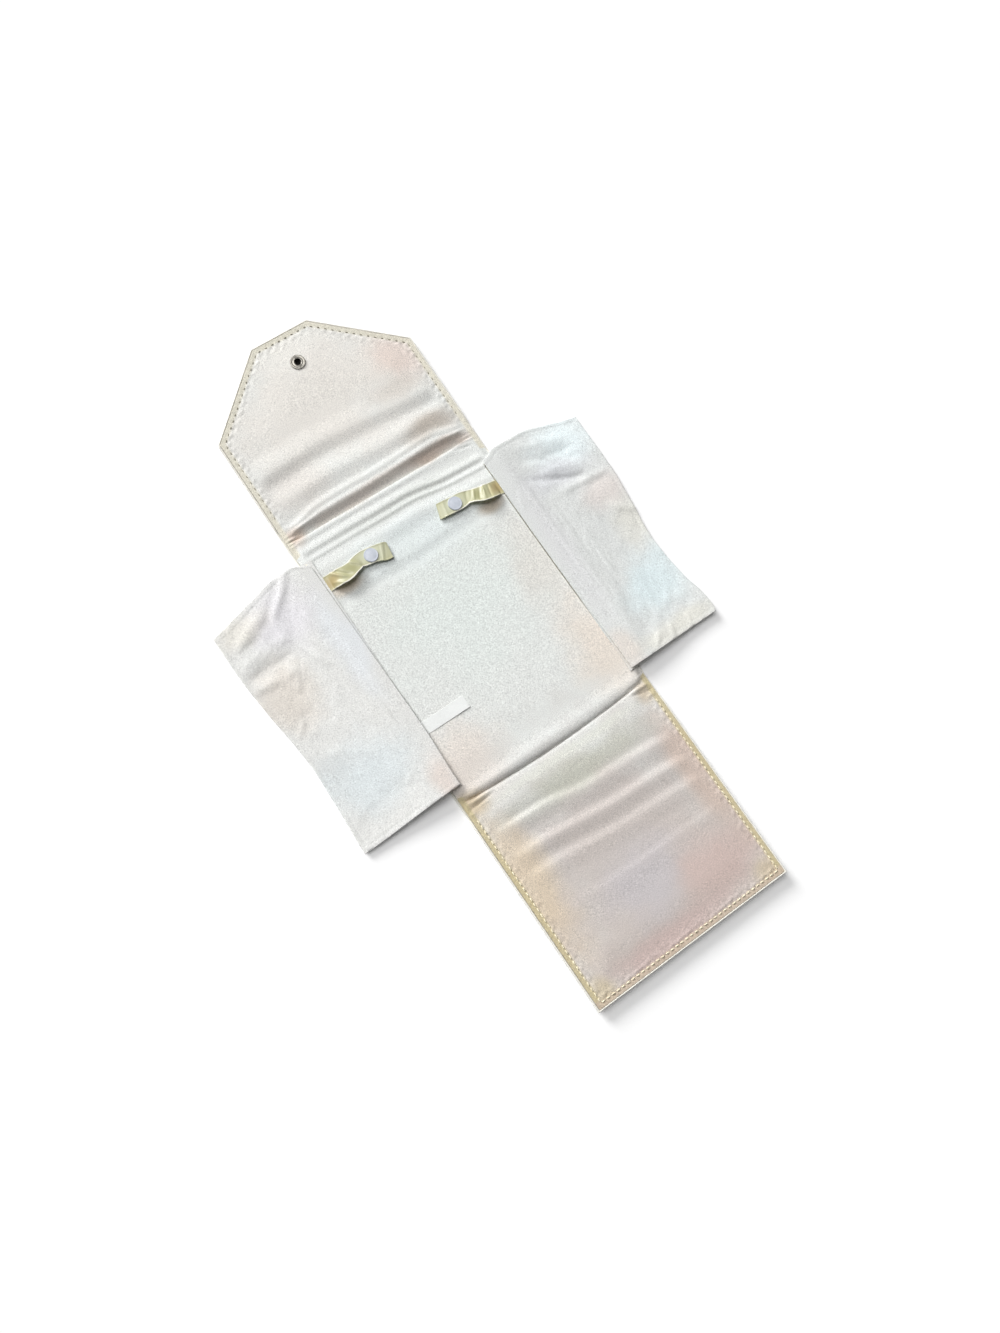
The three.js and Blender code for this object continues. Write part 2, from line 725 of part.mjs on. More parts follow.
function addStrap(name, place, snap) {
  const level = snapLevel - axisLevel;
  const underside = level - strapThickness / 2;
  const holeTool = post(postHole, strapSnapReach, 0, underside - strapThickness, level + strapThickness);
  addPiece(place, `${name}_ribbon`, cut(ribbonGeometry(), [holeTool]), ribbonSatin);
  const capBase = level + strapThickness / 2 + glueGap / 2;
  const socketTop = underside - glueGap / 2;
  const cap = capProfile(capBase, socketTop + glueGap / 4, strapCapRadius, strapCapHeight);
  addPiece(place, `${name}_snap_cap`, turned(cap, strapSnapReach, 0), capLacquer);
  const socket = [
    [0, socketTop],
    [strapSocketRadius, socketTop],
    [strapSocketRadius, socketTop - strapSocketHeight],
    [strapHoleRadius, socketTop - strapSocketHeight],
    [strapHoleRadius, socketTop - snapFloor / 2],
    [0, socketTop - snapFloor / 2],
  ];
  addPiece(place, `${name}_snap_socket`, turned(socket, strapSnapReach, 0), snapMetal);

  const tail = rectangle(-strapTail, -fitGap, -strapWidth / 2, strapWidth / 2);
  addPiece(place, `${name}_tail`, slab(tail, -strapThickness / 2, strapThickness / 2), ribbonSatin);
  const headRadius = strapHoleRadius - snapClearance;
  const backTop = liningBottom - glueGap;
  const stud = studProfile(liningTop + glueGap / 2, backTop + glueGap / 2, strapSocketRadius, headRadius, strapStudHeight);
  addPiece(centre, `${name}_stud`, turned(stud, snap.x, snap.y), snapMetal);
  const back = [
    [0, backTop - snapBackThickness],
    [backRadius, backTop - snapBackThickness],
    [backRadius, backTop],
    [0, backTop],
  ];
  addPiece(centre, `${name}_stud_back`, turned(back, snap.x, snap.y), snapMetal);
}

addStrap("left_strap", leftStrap, strapSnaps[0]);
addStrap("right_strap", rightStrap, strapSnaps[1]);

export default group;
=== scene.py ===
"""Dresses the lying-open jewelry case: satin lining, cloth wings, ribbon straps, snaps, stitching, cover.

Lengths are in millimetres in the part's own frame, and become metres where a mesh is made. Most pieces
are worked out on the flat case and then laid in place, because the lower panel and the flap are propped
up a little.
"""

import json
import math

import bpy
import numpy as np
from mathutils import Matrix, Vector


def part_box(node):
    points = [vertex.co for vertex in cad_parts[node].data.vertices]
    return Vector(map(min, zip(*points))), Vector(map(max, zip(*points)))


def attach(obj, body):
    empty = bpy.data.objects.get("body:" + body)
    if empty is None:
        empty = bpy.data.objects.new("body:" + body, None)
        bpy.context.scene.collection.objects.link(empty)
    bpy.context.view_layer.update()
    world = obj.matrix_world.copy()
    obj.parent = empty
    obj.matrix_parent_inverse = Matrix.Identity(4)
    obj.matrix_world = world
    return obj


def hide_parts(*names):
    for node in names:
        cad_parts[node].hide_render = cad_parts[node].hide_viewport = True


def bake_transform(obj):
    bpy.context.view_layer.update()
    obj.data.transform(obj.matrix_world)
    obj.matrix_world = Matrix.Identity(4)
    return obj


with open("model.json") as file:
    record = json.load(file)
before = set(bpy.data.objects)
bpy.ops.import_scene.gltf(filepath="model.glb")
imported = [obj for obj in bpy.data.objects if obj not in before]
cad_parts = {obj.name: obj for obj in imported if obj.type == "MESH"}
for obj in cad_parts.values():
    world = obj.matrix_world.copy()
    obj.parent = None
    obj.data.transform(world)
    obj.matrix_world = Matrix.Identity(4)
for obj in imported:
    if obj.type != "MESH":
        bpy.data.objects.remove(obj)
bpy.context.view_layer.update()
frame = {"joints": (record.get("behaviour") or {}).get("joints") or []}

MM = 0.001
joints = {joint["name"]: joint for joint in frame["joints"]}


def hinge_at(name):
    """A hinge's place, in millimetres."""
    return np.array(joints[name]["pos_m"]) / MM


def span(node):
    """Lowest and highest corner of a CAD node, in millimetres."""
    low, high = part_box(node)
    return np.array(low) / MM, np.array(high) / MM


# Panels, from the frame
HALF_WIDTH = span("centre_outer_cover")[1][0]
RIM_TOP = span("centre_outer_cover")[1][2]
COVER = span("lower_fold_cover")[1][2]
LABEL_GAP = 0.1
LINING_TOP = span("care_label")[0][2] - LABEL_GAP
CREASE_Z = hinge_at("lower_spine_fold")[2]
LOWER_CREASE = hinge_at("lower_spine_fold")[1]
LOWER_PANEL_CREASE = hinge_at("lower_panel_fold")[1]
UPPER_CREASE = hinge_at("upper_spine_fold")[1]
FLAP_CREASE = hinge_at("flap_fold")[1]
LOWER_FOLD = (LOWER_CREASE + LOWER_PANEL_CREASE) / 2
UPPER_FOLD = (UPPER_CREASE + FLAP_CREASE) / 2
LOWER_TILT = math.radians(90 - joints["lower_panel_fold"]["range_deg"][1])
FLAP_TILT = math.radians(90 - joints["flap_fold"]["range_deg"][1])
TILT_SOFTNESS = 6.0

# Panels, as cut
LOWER_LENGTH = 128.0
SHOULDER_LENGTH = 62.2
FLAP_LENGTH = 105.5
FLAP_END_HALF = 20.0
LOWER_END = LOWER_PANEL_CREASE - LOWER_LENGTH
FLAP_SHOULDER = FLAP_CREASE + SHOULDER_LENGTH
FLAP_END = FLAP_CREASE + FLAP_LENGTH
TAPER_RUN = FLAP_END - FLAP_SHOULDER
TAPER_IN = HALF_WIDTH - FLAP_END_HALF
TAPER_LENGTH = math.hypot(TAPER_RUN, TAPER_IN)
CENTRE_SPLIT = 8.0

# Curves and fields


def ease(t):
    """Goes smoothly from nothing to one as t does."""
    t = np.clip(t, 0, 1)
    return t * t * (3 - 2 * t)


def plateau(v, rise_from, rise_to, fall_from, fall_to):
    """One between the middle two values, easing to nothing outside."""
    return ease((v - rise_from) / (rise_to - rise_from)) * ease((fall_to - v) / (fall_to - fall_from))


def ridge(v, at, width):
    """One at a place, falling to nothing on both sides within about twice the width."""
    return np.exp(-(((v - at) / width) ** 2))


def soft_noise(x, y, seed):
    """Slow wander between about -1 and 1, always the same for a seed."""
    total = 0
    for k in range(4):
        angle = 1.7 * seed + 2.4 * k
        run = x * math.cos(angle) + y * math.sin(angle)
        total = total + np.sin(run * (1 + 0.37 * k) + seed + 1.3 * k)
    return total / 2.6


def smooth_curve(knots):
    """A curve through the knots that never overshoots them, so that each crest stays where it is put."""
    at, value = (np.array(v, float) for v in zip(*sorted(knots)))
    step = np.diff(at)
    slope = np.diff(value) / step
    tangent = np.zeros(len(at))
    for i in range(1, len(at) - 1):
        if slope[i - 1] * slope[i] > 0:
            tangent[i] = 2 * slope[i - 1] * slope[i] / (slope[i - 1] + slope[i])

    def height(v):
        i = np.clip(np.searchsorted(at, v) - 1, 0, len(step) - 1)
        t = np.clip((v - at[i]) / step[i], 0, 1)
        rest = 1 - t
        return (
            value[i] * (1 + 2 * t) * rest * rest + value[i + 1] * t * t * (3 - 2 * t)
            + step[i] * (tangent[i] * t * rest * rest - tangent[i + 1] * t * t * rest)
        )

    return height


def strokes(x, y, marks):
    """Height of ridges and valleys drawn as strokes: from, to, width and height of each."""
    total = np.zeros(np.broadcast(x, y).shape)
    for (x0, y0), (x1, y1), width, height in marks:
        dx, dy = x1 - x0, y1 - y0
        length = math.hypot(dx, dy)
        along = ((x - x0) * dx + (y - y0) * dy) / length
        aside = ((x - x0) * dy - (y - y0) * dx) / length
        taper = plateau(along, -width, length * 0.3, length * 0.7, length + width)
        total += height * taper * ridge(aside, 0, width)
    return total


def place(x, y, z):
    """Points of the flat case as it lies: the lower panel and the flap rise a little from their creases."""
    x, y, z = (np.array(v, float) for v in np.broadcast_arrays(x, y, z))
    for crease, tilt, side in ((LOWER_PANEL_CREASE, LOWER_TILT, -1), (FLAP_CREASE, FLAP_TILT, 1)):
        run, up = side * (y - crease), z - CREASE_Z
        angle = tilt * ease((run + TILT_SOFTNESS) / (2 * TILT_SOFTNESS))
        y = crease + side * (run * np.cos(angle) - up * np.sin(angle))
        z = CREASE_Z + run * np.sin(angle) + up * np.cos(angle)
    return np.stack([x, y, z], axis=-1)


def edge_distance(x, y):
    """Distance inside the finished edge of the case."""
    side = HALF_WIDTH - np.abs(x)
    taper = (side * TAPER_RUN + (FLAP_SHOULDER - y) * TAPER_IN) / TAPER_LENGTH
    return np.minimum(np.minimum(side, taper), np.minimum(FLAP_END - y, y - LOWER_END))


def half_width_at(y, inset):
    """Half the width at a place along the case, that far inside the edge."""
    taper = (inset * TAPER_LENGTH + (y - FLAP_SHOULDER) * TAPER_IN) / TAPER_RUN
    return HALF_WIDTH - np.maximum(inset, taper)


def graded(start, end, fine, coarse, margin):
    """Places from start to end, close together within the margin of both ends."""
    length = end - start
    edge = np.arange(0, margin, fine)
    count = max(2, int((length - 2 * margin) / coarse) + 1)
    middle = np.linspace(margin, length - margin, count)
    return start + np.concatenate([edge, middle, (length - edge)[::-1]])


# Meshes


def new_object(name, vertices, faces, material, sharp=50):
    """An object in the scene from points in millimetres, smooth but for edges sharper than the angle."""
    mesh = bpy.data.meshes.new(name)
    mesh.from_pydata((np.asarray(vertices) * MM).tolist(), [], faces)
    mesh.update()
    mesh.shade_smooth()
    mesh.set_sharp_from_angle(angle=math.radians(sharp))
    mesh.materials.append(material)
    obj = bpy.data.objects.new(name, mesh)
    bpy.context.scene.collection.objects.link(obj)
    return obj


def level_square(name, half, z, material):
    """A level square around the origin, for a table or a floor."""
    corners = [(-half, -half, z), (half, -half, z), (half, half, z), (-half, half, z)]
    return new_object(name, corners, [[0, 1, 2, 3]], material)


def keep_flat_place(obj, flat):
    """Keeps each point's place on the flat case, so that colour and weave stay on the cloth as it folds."""
    attribute = obj.data.attributes.new("flat_place", "FLOAT_VECTOR", "POINT")
    attribute.data.foreach_set("vector", (np.asarray(flat) * MM).astype(np.float32).ravel())


def keep_edge_distance(obj, beyond):
    """Keeps each point's distance inside the edge of the case, made larger by what the function says."""
    flat_place = obj.data.attributes["flat_place"].data
    flat = np.zeros(3 * len(flat_place), np.float32)
    flat_place.foreach_get("vector", flat)
    x, y, _ = flat.reshape(-1, 3).T / MM
    attribute = obj.data.attributes.new("edge_distance", "FLOAT", "POINT")
    attribute.data.foreach_set("value", ((edge_distance(x, y) + beyond(y)) * MM).astype(np.float32))


def grid_quads(rows, columns):
    """Indices of a grid's points, and the quads between them."""
    index = np.arange(rows * columns).reshape(rows, columns)
    corners = [index[:-1, :-1], index[:-1, 1:], index[1:, 1:], index[1:, :-1]]
    return index, np.stack(corners, axis=-1).reshape(-1, 4)


def closed_sheet(name, top, bottom, flat, material, bulge=0.0):
    """A closed cloth from two grids of points, its rim rounded outwards by the bulge."""
    index, quads = grid_quads(*top.shape[:2])
    count = index.size
    faces = quads.tolist() + (quads[:, ::-1] + count).tolist()
    rim = np.concatenate([index[0, :-1], index[:-1, -1], index[-1, :0:-1], index[:0:-1, 0]])
    upper, lower, spread = top.reshape(-1, 3), bottom.reshape(-1, 3), flat.reshape(-1, 3)
    edge = (upper[rim] + lower[rim]) / 2
    run = np.roll(upper[rim], -1, axis=0) - np.roll(upper[rim], 1, axis=0)
    out = np.stack([run[:, 1], -run[:, 0], np.zeros(len(rim))], axis=-1)
    edge = edge + bulge * out / np.maximum(np.linalg.norm(out, axis=1, keepdims=True), 1e-9)
    for k in range(len(rim)):
        k2 = (k + 1) % len(rim)
        p, q, m, n = int(rim[k]), int(rim[k2]), 2 * count + k, 2 * count + k2
        faces.append([q, p, m, n])
        faces.append([n, m, p + count, q + count])
    obj = new_object(name, np.concatenate([upper, lower, edge]), faces, material)
    keep_flat_place(obj, np.concatenate([spread, spread, spread[rim]]))
    return obj


def turned(name, profile, centre, material, laid=True, segments=56):
    """A turned piece from (radius, height) pairs that start and end on the axis."""
    angle = np.arange(segments) * 2 * math.pi / segments
    rings = profile[1:-1]
    points = [(centre[0], centre[1], profile[0][1])]
    for r, z in rings:
        points += [(centre[0] + r * math.cos(t), centre[1] + r * math.sin(t), z) for t in angle]
    points.append((centre[0], centre[1], profile[-1][1]))
    last, tail = len(points) - 1, 1 + (len(rings) - 1) * segments
    faces = []
    for k in range(segments):
        k2 = (k + 1) % segments
        faces.append([0, 1 + k2, 1 + k])
        for i in range(len(rings) - 1):
            low = 1 + i * segments
            faces.append([low + k, low + k2, low + segments + k2, low + segments + k])
        faces.append([tail + k, tail + k2, last])
    runs_down = profile[0][1] > profile[-1][1]
    faces = [face[::-1] for face in faces] if runs_down else faces
    points = np.array(points)
    laid_points = place(*points.T) if laid else points
    return new_object(name, laid_points, faces, material, sharp=35)


# Shader nodes


def colour(code):
    """Linear colour from a hexadecimal one."""
    parts = [int(code[i:i + 2], 16) / 255 for i in (0, 2, 4)]
    linear = [p / 12.92 if p <= 0.04045 else ((p + 0.055) / 1.055) ** 2.4 for p in parts]
    return (*linear, 1.0)


def add(tree, kind, settings=None, **inputs):
    """A node with its settings and the values of its inputs, which may be other nodes' outputs."""
    node = tree.nodes.new(kind)
    for key, value in (settings or {}).items():
        setattr(node, key, value)
    for key, value in inputs.items():
        by_number = key[1:].isdigit()
        socket = node.inputs[int(key[1:]) if by_number else key.replace("_", " ")]
        if isinstance(value, bpy.types.NodeSocket):
            tree.links.new(value, socket)
        else:
            socket.default_value = value
    return node


def group(name, inputs, outputs):
    """An empty node group with its input and output sockets, as {name: kind}."""
    tree = bpy.data.node_groups.new(name, "ShaderNodeTree")
    for direction, sockets in (("INPUT", inputs), ("OUTPUT", outputs)):
        for socket, kind in sockets.items():
            tree.interface.new_socket(socket, in_out=direction, socket_type="NodeSocket" + kind)
    return tree, tree.nodes.new("NodeGroupInput").outputs, tree.nodes.new("NodeGroupOutput").inputs


def use_group(tree, made, **inputs):
    """Outputs of a node group placed in a material, with these values."""
    return add(tree, "ShaderNodeGroup", {"node_tree": made}, **inputs).outputs


def math_node(tree, operation, first, second):
    """One number worked out from two."""
    return add(tree, "ShaderNodeMath", {"operation": operation}, _0=first, _1=second).outputs[0]


def vector_node(tree, operation, first, second):
    """One vector worked out from two."""
    return add(tree, "ShaderNodeVectorMath", {"operation": operation}, _0=first, _1=second).outputs[0]


def mix_colours(tree, share, first, second, blend="MIX"):
    """A colour between two, by a share."""
    settings = {"data_type": "RGBA", "blend_type": blend}
    return add(tree, "ShaderNodeMix", settings, _0=share, _6=first, _7=second).outputs[2]


def ramp(tree, value, start, end, low=0.0, high=1.0, kind="LINEAR"):
    """Goes from low to high as the value goes from start to end."""
    node = add(
        tree, "ShaderNodeMapRange", {"interpolation_type": kind},
        Value=value, From_Min=start, From_Max=end, To_Min=low, To_Max=high,
    )
    return node.outputs[0]


def vary(tree, value, low, high):
    """Goes from low to high over the range where noise mostly lies."""
    return ramp(tree, value, 0.3, 0.7, low, high)


def noise(tree, where, scale, detail, **more):
    """Cloudy noise around one half, with its scale in cycles per metre."""
    return add(tree, "ShaderNodeTexNoise", Vector=where, Scale=scale, Detail=detail, **more).outputs[0]


def kept(tree, name, output):
    """What a mesh keeps for each of its points."""
    return add(tree, "ShaderNodeAttribute", {"attribute_name": name}).outputs[output]


def own_place(tree):
    """Place in the object's own frame."""
    return add(tree, "ShaderNodeTexCoord").outputs["Object"]


def bump(tree, shader, height, strength, distance):
    """Relief on a shader's surface."""
    node = add(tree, "ShaderNodeBump", Height=height, Strength=strength, Distance=distance)
    tree.links.new(node.outputs[0], shader.inputs["Normal"])


def new_material(name, **values):
    """A material with its Principled shader's plain values set, and that shader."""
    material = bpy.data.materials.new(name)
    material.use_nodes = True
    shader = material.node_tree.nodes["Principled BSDF"]
    for key, value in values.items():
        shader.inputs[key.replace("_", " ")].default_value = value
    return material, material.node_tree, shader


# Effects that materials share


def tint_spot_group():
    """A soft oval of another tint, used both for the cloth's colour and for painted shade and painted light,
    its edge broken up a little.
    """
    tree, given, out = group(
        "tint spot",
        {
            "Colour": "Color", "Place": "Vector", "Centre": "Vector",
            "Reach": "Vector", "Tint": "Color", "Amount": "Float",
        },
        {"Colour": "Color"},
    )
    wander = add(tree, "ShaderNodeTexNoise", Vector=given["Place"], Scale=38.0, Detail=3.0)
    shift = vector_node(tree, "SUBTRACT", wander.outputs["Color"], (0.5, 0.5, 0.5))
    from_centre = vector_node(tree, "SUBTRACT", given["Place"], given["Centre"])
    offset = vector_node(tree, "DIVIDE", from_centre, given["Reach"])
    moved = vector_node(tree, "ADD", offset, vector_node(tree, "MULTIPLY", shift, (0.9, 0.9, 0.0)))
    flat = vector_node(tree, "MULTIPLY", moved, (1.0, 1.0, 0.0))
    far = add(tree, "ShaderNodeVectorMath", {"operation": "LENGTH"}, _0=flat).outputs["Value"]
    near = ramp(tree, far, 0.1, 1.15, 1.0, 0.0, "SMOOTHERSTEP")
    share = math_node(tree, "MULTIPLY", near, given["Amount"])
    tree.links.new(mix_colours(tree, share, given["Colour"], given["Tint"]), out["Colour"])
    return tree


def satin_weave_group():
    """Fine satin floats: a colour speckled by light and shade, a height for the bump, and the speckle."""
    tree, given, out = group(
        "satin weave",
        {
            "Colour": "Color", "Place": "Vector", "Along": "Float", "Across": "Float",
            "Darkest": "Float", "Brightest": "Float",
        },
        {"Colour": "Color", "Height": "Float", "Speck": "Float"},
    )
    across, along = given["Across"], given["Along"]
    stretch = add(tree, "ShaderNodeCombineXYZ", X=across, Y=along, Z=along).outputs[0]
    fine = noise(tree, vector_node(tree, "MULTIPLY", given["Place"], stretch), 1.0, 2.0)
    slub = noise(tree, given["Place"], 2600.0, 2.0, Roughness=0.7)
    crinkle = noise(tree, given["Place"], 170.0, 2.0, Distortion=0.6)
    height = math_node(tree, "ADD", fine, math_node(tree, "MULTIPLY", slub, 0.8))
    height = math_node(tree, "ADD", height, math_node(tree, "MULTIPLY", crinkle, 2.0))
    level = vary(tree, slub, given["Darkest"], given["Brightest"])
    grey = add(tree, "ShaderNodeCombineXYZ", X=level, Y=level, Z=level).outputs[0]
    tree.links.new(mix_colours(tree, 1.0, given["Colour"], grey, "MULTIPLY"), out["Colour"])
    tree.links.new(height, out["Height"])
    tree.links.new(slub, out["Speck"])
    return tree


def leather_grain_group():
    """Pressed leather grain: cells with shallow creases between them."""
    tree, given, out = group(
        "leather grain", {"Place": "Vector", "Scale": "Float"}, {"Height": "Float", "Crease": "Float"},
    )
    settings = {"feature": "DISTANCE_TO_EDGE"}
    cells = add(tree, "ShaderNodeTexVoronoi", settings, Vector=given["Place"], Scale=given["Scale"])
    crease = ramp(tree, cells.outputs[0], 0.0, 0.25)
    wear_and_painted_light = math_node(tree, "MULTIPLY", noise(tree, given["Place"], 90.0, 5.0), 0.6)
    tree.links.new(math_node(tree, "ADD", crease, wear_and_painted_light), out["Height"])
    tree.links.new(crease, out["Crease"])
    return tree


def two_tones(tree, value, given):
    """A colour that goes between a group's dark and light tone with a value."""
    return mix_colours(tree, vary(tree, value, 0.0, 1.0), given["Dark"], given["Light"])


def mottled_finish_group():
    """Uneven finish: a colour between two tones, and a level for gloss and relief that goes with it."""
    tree, given, out = group(
        "mottled finish",
        {
            "Place": "Vector", "Scale": "Float", "Detail": "Float", "Coarseness": "Float",
            "Light": "Color", "Dark": "Color",
        },
        {"Colour": "Color", "Level": "Float"},
    )
    coarseness = given["Coarseness"]
    level = noise(tree, given["Place"], given["Scale"], given["Detail"], Roughness=coarseness)
    tree.links.new(two_tones(tree, level, given), out["Colour"])
    tree.links.new(level, out["Level"])
    return tree


def twisted_plies_group():
    """Slanted plies of a twisted thread: a colour with a painted highlight on top of them, and their height.
    """
    tree, given, out = group(
        "twisted plies",
        {"Place": "Vector", "Light": "Color", "Dark": "Color"},
        {"Colour": "Color", "Height": "Float"},
    )
    plies = add(
        tree, "ShaderNodeTexWave", {"bands_direction": "DIAGONAL"},
        Vector=given["Place"], Scale=700.0, Distortion=1.5,
    ).outputs["Fac"]
    tree.links.new(two_tones(tree, plies, given), out["Colour"])
    tree.links.new(plies, out["Height"])
    return tree


TINT_SPOT = tint_spot_group()
SATIN_WEAVE = satin_weave_group()
LEATHER_GRAIN = leather_grain_group()
MOTTLED_FINISH = mottled_finish_group()
TWISTED_PLIES = twisted_plies_group()

# Tints laid on the cloth, partly the satin's own pearly colour and partly painted reflection, painted shade
# and painted highlight, as noted below: centre on the flat case, reach both ways, colour, amount
LINING_TINTS_AND_PAINTED_LIGHT = [
    ((0, 165), (105, 70), "e8e3dc", 0.85), ((56, 168), (28, 24), "e4cfc4", 0.6),
    # The spots at (48, 117) and (46, 146) are painted shade in the valleys at the lower right of the flap.
    ((48, 117), (26, 12), "bfb4a8", 0.8), ((46, 146), (30, 10), "c9bfb5", 0.45),
    ((0, 206), (44, 16), "f0ede6", 0.6), ((-50, 124), (30, 26), "d9d1ca", 0.5),
    # The spot at (0, 100.5), and the one at (40, 101) on the next line, are painted shade in the dark band of
    # the upper fold's crease.
    ((-64, 98), (12, 9), "d3b8a2", 0.6), ((0, 100.5), (84, 6.5), "c2ab9b", 0.42),
    ((40, 101), (30, 7), "b39c8b", 0.6), ((0, 60), (62, 26), "dfe9eb", 0.5),
    ((10, 84), (62, 8), "cfd2cc", 0.45), ((0, 10), (70, 64), "e2eae6", 0.6),
    ((54, 6), (24, 42), "ddd4c9", 0.4), ((-54, -72), (34, 34), "e9d8cb", 0.5),
    # Both spots on the next line are painted shadow under the straps' raised loops, warmed as if lit through
    # the ribbon.
    ((-53, 56.5), (14, 6.5), "bc9f78", 0.5), ((50, 52.5), (13, 7), "bc9f78", 0.5),
    ((58, -58), (30, 46), "e8d8c8", 0.6), ((0, -172), (140, 112), "c9c1bc", 1.0),
    ((0, -236), (200, 78), "c9bdb6", 0.8), ((0, -112), (70, 16), "c0c1b3", 0.7),
    ((-6, -188), (46, 30), "c6c3c8", 0.6), ((38, -205), (36, 26), "cdb5ae", 0.65),
    ((-60, -150), (20, 70), "d9c6aa", 0.7), ((62, -150), (17, 64), "ccb6a8", 0.7),
    ((-8, -222), (60, 14), "c8b2ad", 0.7), ((64, -224), (16, 14), "cdbda0", 0.7),
    # The spot at (0, -99) is a painted highlight on the rolled lining just below the lower fold's crease.
    ((-64, -226), (13, 16), "cbbc9c", 0.7), ((0, -99), (76, 5), "e4e5dc", 0.7),
    ((-64, -94), (13, 11), "cdb997", 0.75), ((64, -96), (11, 10), "cfbd9f", 0.65),
]
LEFT_WING_TINTS = [
    ((-95, 60), (32, 26), "e6e3ea", 0.6), ((-118, 20), (28, 28), "e3dacf", 0.7),
    ((-105, -45), (38, 32), "d7e0e3", 0.7), ((-68, -72), (12, 24), "e2d2c8", 0.6),
    ((-72, 30), (14, 46), "e6eaee", 0.7), ((-120, 67), (26, 13), "e8e3d8", 0.6),
]
RIGHT_WING_TINTS = [
    ((112, 66), (34, 22), "f0fbfd", 0.85), ((95, 48), (34, 14), "dadbe2", 0.5),
    ((118, 22), (24, 18), "e2d6d0", 0.6), ((123, -4), (20, 24), "dcd9ce", 0.6),
    ((110, -42), (32, 28), "ddecef", 0.75), ((105, -74), (44, 10), "e2dfd3", 0.6),
    ((72, 10), (12, 72), "dfdee0", 0.5), ((68, -70), (12, 22), "e4d8cd", 0.6),
]

# Tints of a ribbon: centre as distance from its seam and across it, then as above. The darker tan at the root
# and the darker olive over the loop are painted shade, the flat end is paler, and the light lines along both
# edges are paler woven edges with painted highlight
RIBBON_TINTS_AND_PAINTED_LIGHT = [
    ((1, 0), (8, 7), "b29d6c", 0.8), ((15, 0), (9, 7), "98966a", 0.7), ((32, 0), (14, 8), "cdd0b8", 0.7),
    ((18, 5), (26, 0.9), "fbfaf0", 0.9), ((18, -5), (26, 0.9), "fbfaf0", 0.9),
]

# Materials


def satin(name, base, tints, border=None, roughness=(0.6, 0.76), speck=0.45, gloss=0.08, relief=0.16):
    """Pearly satin: a base colour, soft tints laid on it that include painted shade, painted shadow and
    painted highlight, fine floats and a dull sheen.
    """
    material, tree, shader = new_material(
        name, Sheen_Weight=0.05, Sheen_Roughness=0.4, Specular_IOR_Level=gloss,
    )
    where = kept(tree, "flat_place", "Vector")
    shade = colour(base)
    for (x, y), (reach_x, reach_y), tint, amount in tints:
        shade = use_group(
            tree, TINT_SPOT, Colour=shade, Place=where, Centre=(x * MM, y * MM, 0),
            Reach=(reach_x * MM, reach_y * MM, 1), Tint=colour(tint), Amount=amount,
        )["Colour"]
    # A border lays painted shade on the lining's margin outside the hem's stitches.
    if border:
        shade = border(tree, where, shade)
    weave = use_group(
        tree, SATIN_WEAVE, Colour=shade, Place=where, Along=900.0, Across=2600.0,
        Darkest=1 - speck, Brightest=1 + speck,
    )
    tree.links.new(weave["Colour"], shader.inputs["Base Color"])
    tree.links.new(vary(tree, weave["Speck"], *roughness), shader.inputs["Roughness"])
    bump(tree, shader, weave["Height"], relief, 0.3 * MM)
    return material


def hem_painted_shade(tree, where, shade):
    """Painted shade and warm painted reflection on the lining's margin outside the stitches, where it slopes
    down to the edge: golden on the lower panel, rosier at its end and creamier on the flap.
    """
    along = add(tree, "ShaderNodeSeparateXYZ", Vector=where).outputs["Y"]
    edge = kept(tree, "edge_distance", "Fac")
    outside = ramp(tree, edge, 3.4 * MM, 5.6 * MM, 0.85, 0.0, "SMOOTHSTEP")
    on_flap = ramp(tree, along, 0.0, 100 * MM)
    at_end = ramp(tree, along, (LOWER_END + 4.5) * MM, (LOWER_END + 7) * MM, 0.8, 0.0)
    golden = mix_colours(tree, at_end, colour("c7bb95"), colour("c3b2a2"))
    hem = mix_colours(tree, on_flap, golden, colour("e2ddcc"))
    return mix_colours(tree, outside, shade, hem)


def leatherette(name):
    """Leatherette of the outer cover: pressed grain, faint soiling, and painted light that makes the
    turned-up edge paler.
    """
    material, tree, shader = new_material(name, Specular_IOR_Level=0.15)
    where = kept(tree, "flat_place", "Vector")
    grain = use_group(tree, LEATHER_GRAIN, Place=where, Scale=1200.0)
    soil = noise(tree, where, 22.0, 4.0)
    aged = mix_colours(tree, vary(tree, soil, 0.0, 0.5), colour("e2ded4"), colour("d8d3c6"))
    lined = mix_colours(tree, grain["Crease"], colour("d3cdbe"), aged)
    # Painted light: the turned-up edge, in shade on the side away from the lamps, is painted paler.
    painted_light_edge = ramp(tree, kept(tree, "edge_distance", "Fac"), 1.2 * MM, 2.4 * MM, 1.0, 0.0)
    wear_and_painted_light = mix_colours(tree, painted_light_edge, lined, colour("eeebe2"))
    tree.links.new(wear_and_painted_light, shader.inputs["Base Color"])
    tree.links.new(vary(tree, soil, 0.6, 0.78), shader.inputs["Roughness"])
    bump(tree, shader, grain["Height"], 0.35, 0.2 * MM)
    return material


def lay_finish(tree, shader, made, light, dark, **inputs):
    """Lays a two-toned finish on a shader as its colour, and gives the finish's outputs."""
    finish = use_group(
        tree, made, Place=own_place(tree), Light=colour(light), Dark=colour(dark), **inputs,
    )
    tree.links.new(finish["Colour"], shader.inputs["Base Color"])
    return finish


def fibrous(name, light, dark, scale, roughness):
    """Dull matted fibre, for the board and the wadding inside."""
    material, tree, shader = new_material(name, Roughness=roughness, Specular_IOR_Level=0.2)
    fibre = lay_finish(
        tree, shader, MOTTLED_FINISH, light, dark, Scale=scale, Detail=6.0, Coarseness=0.7,
    )
    bump(tree, shader, fibre["Level"], 0.5, 0.4 * MM)
    return material


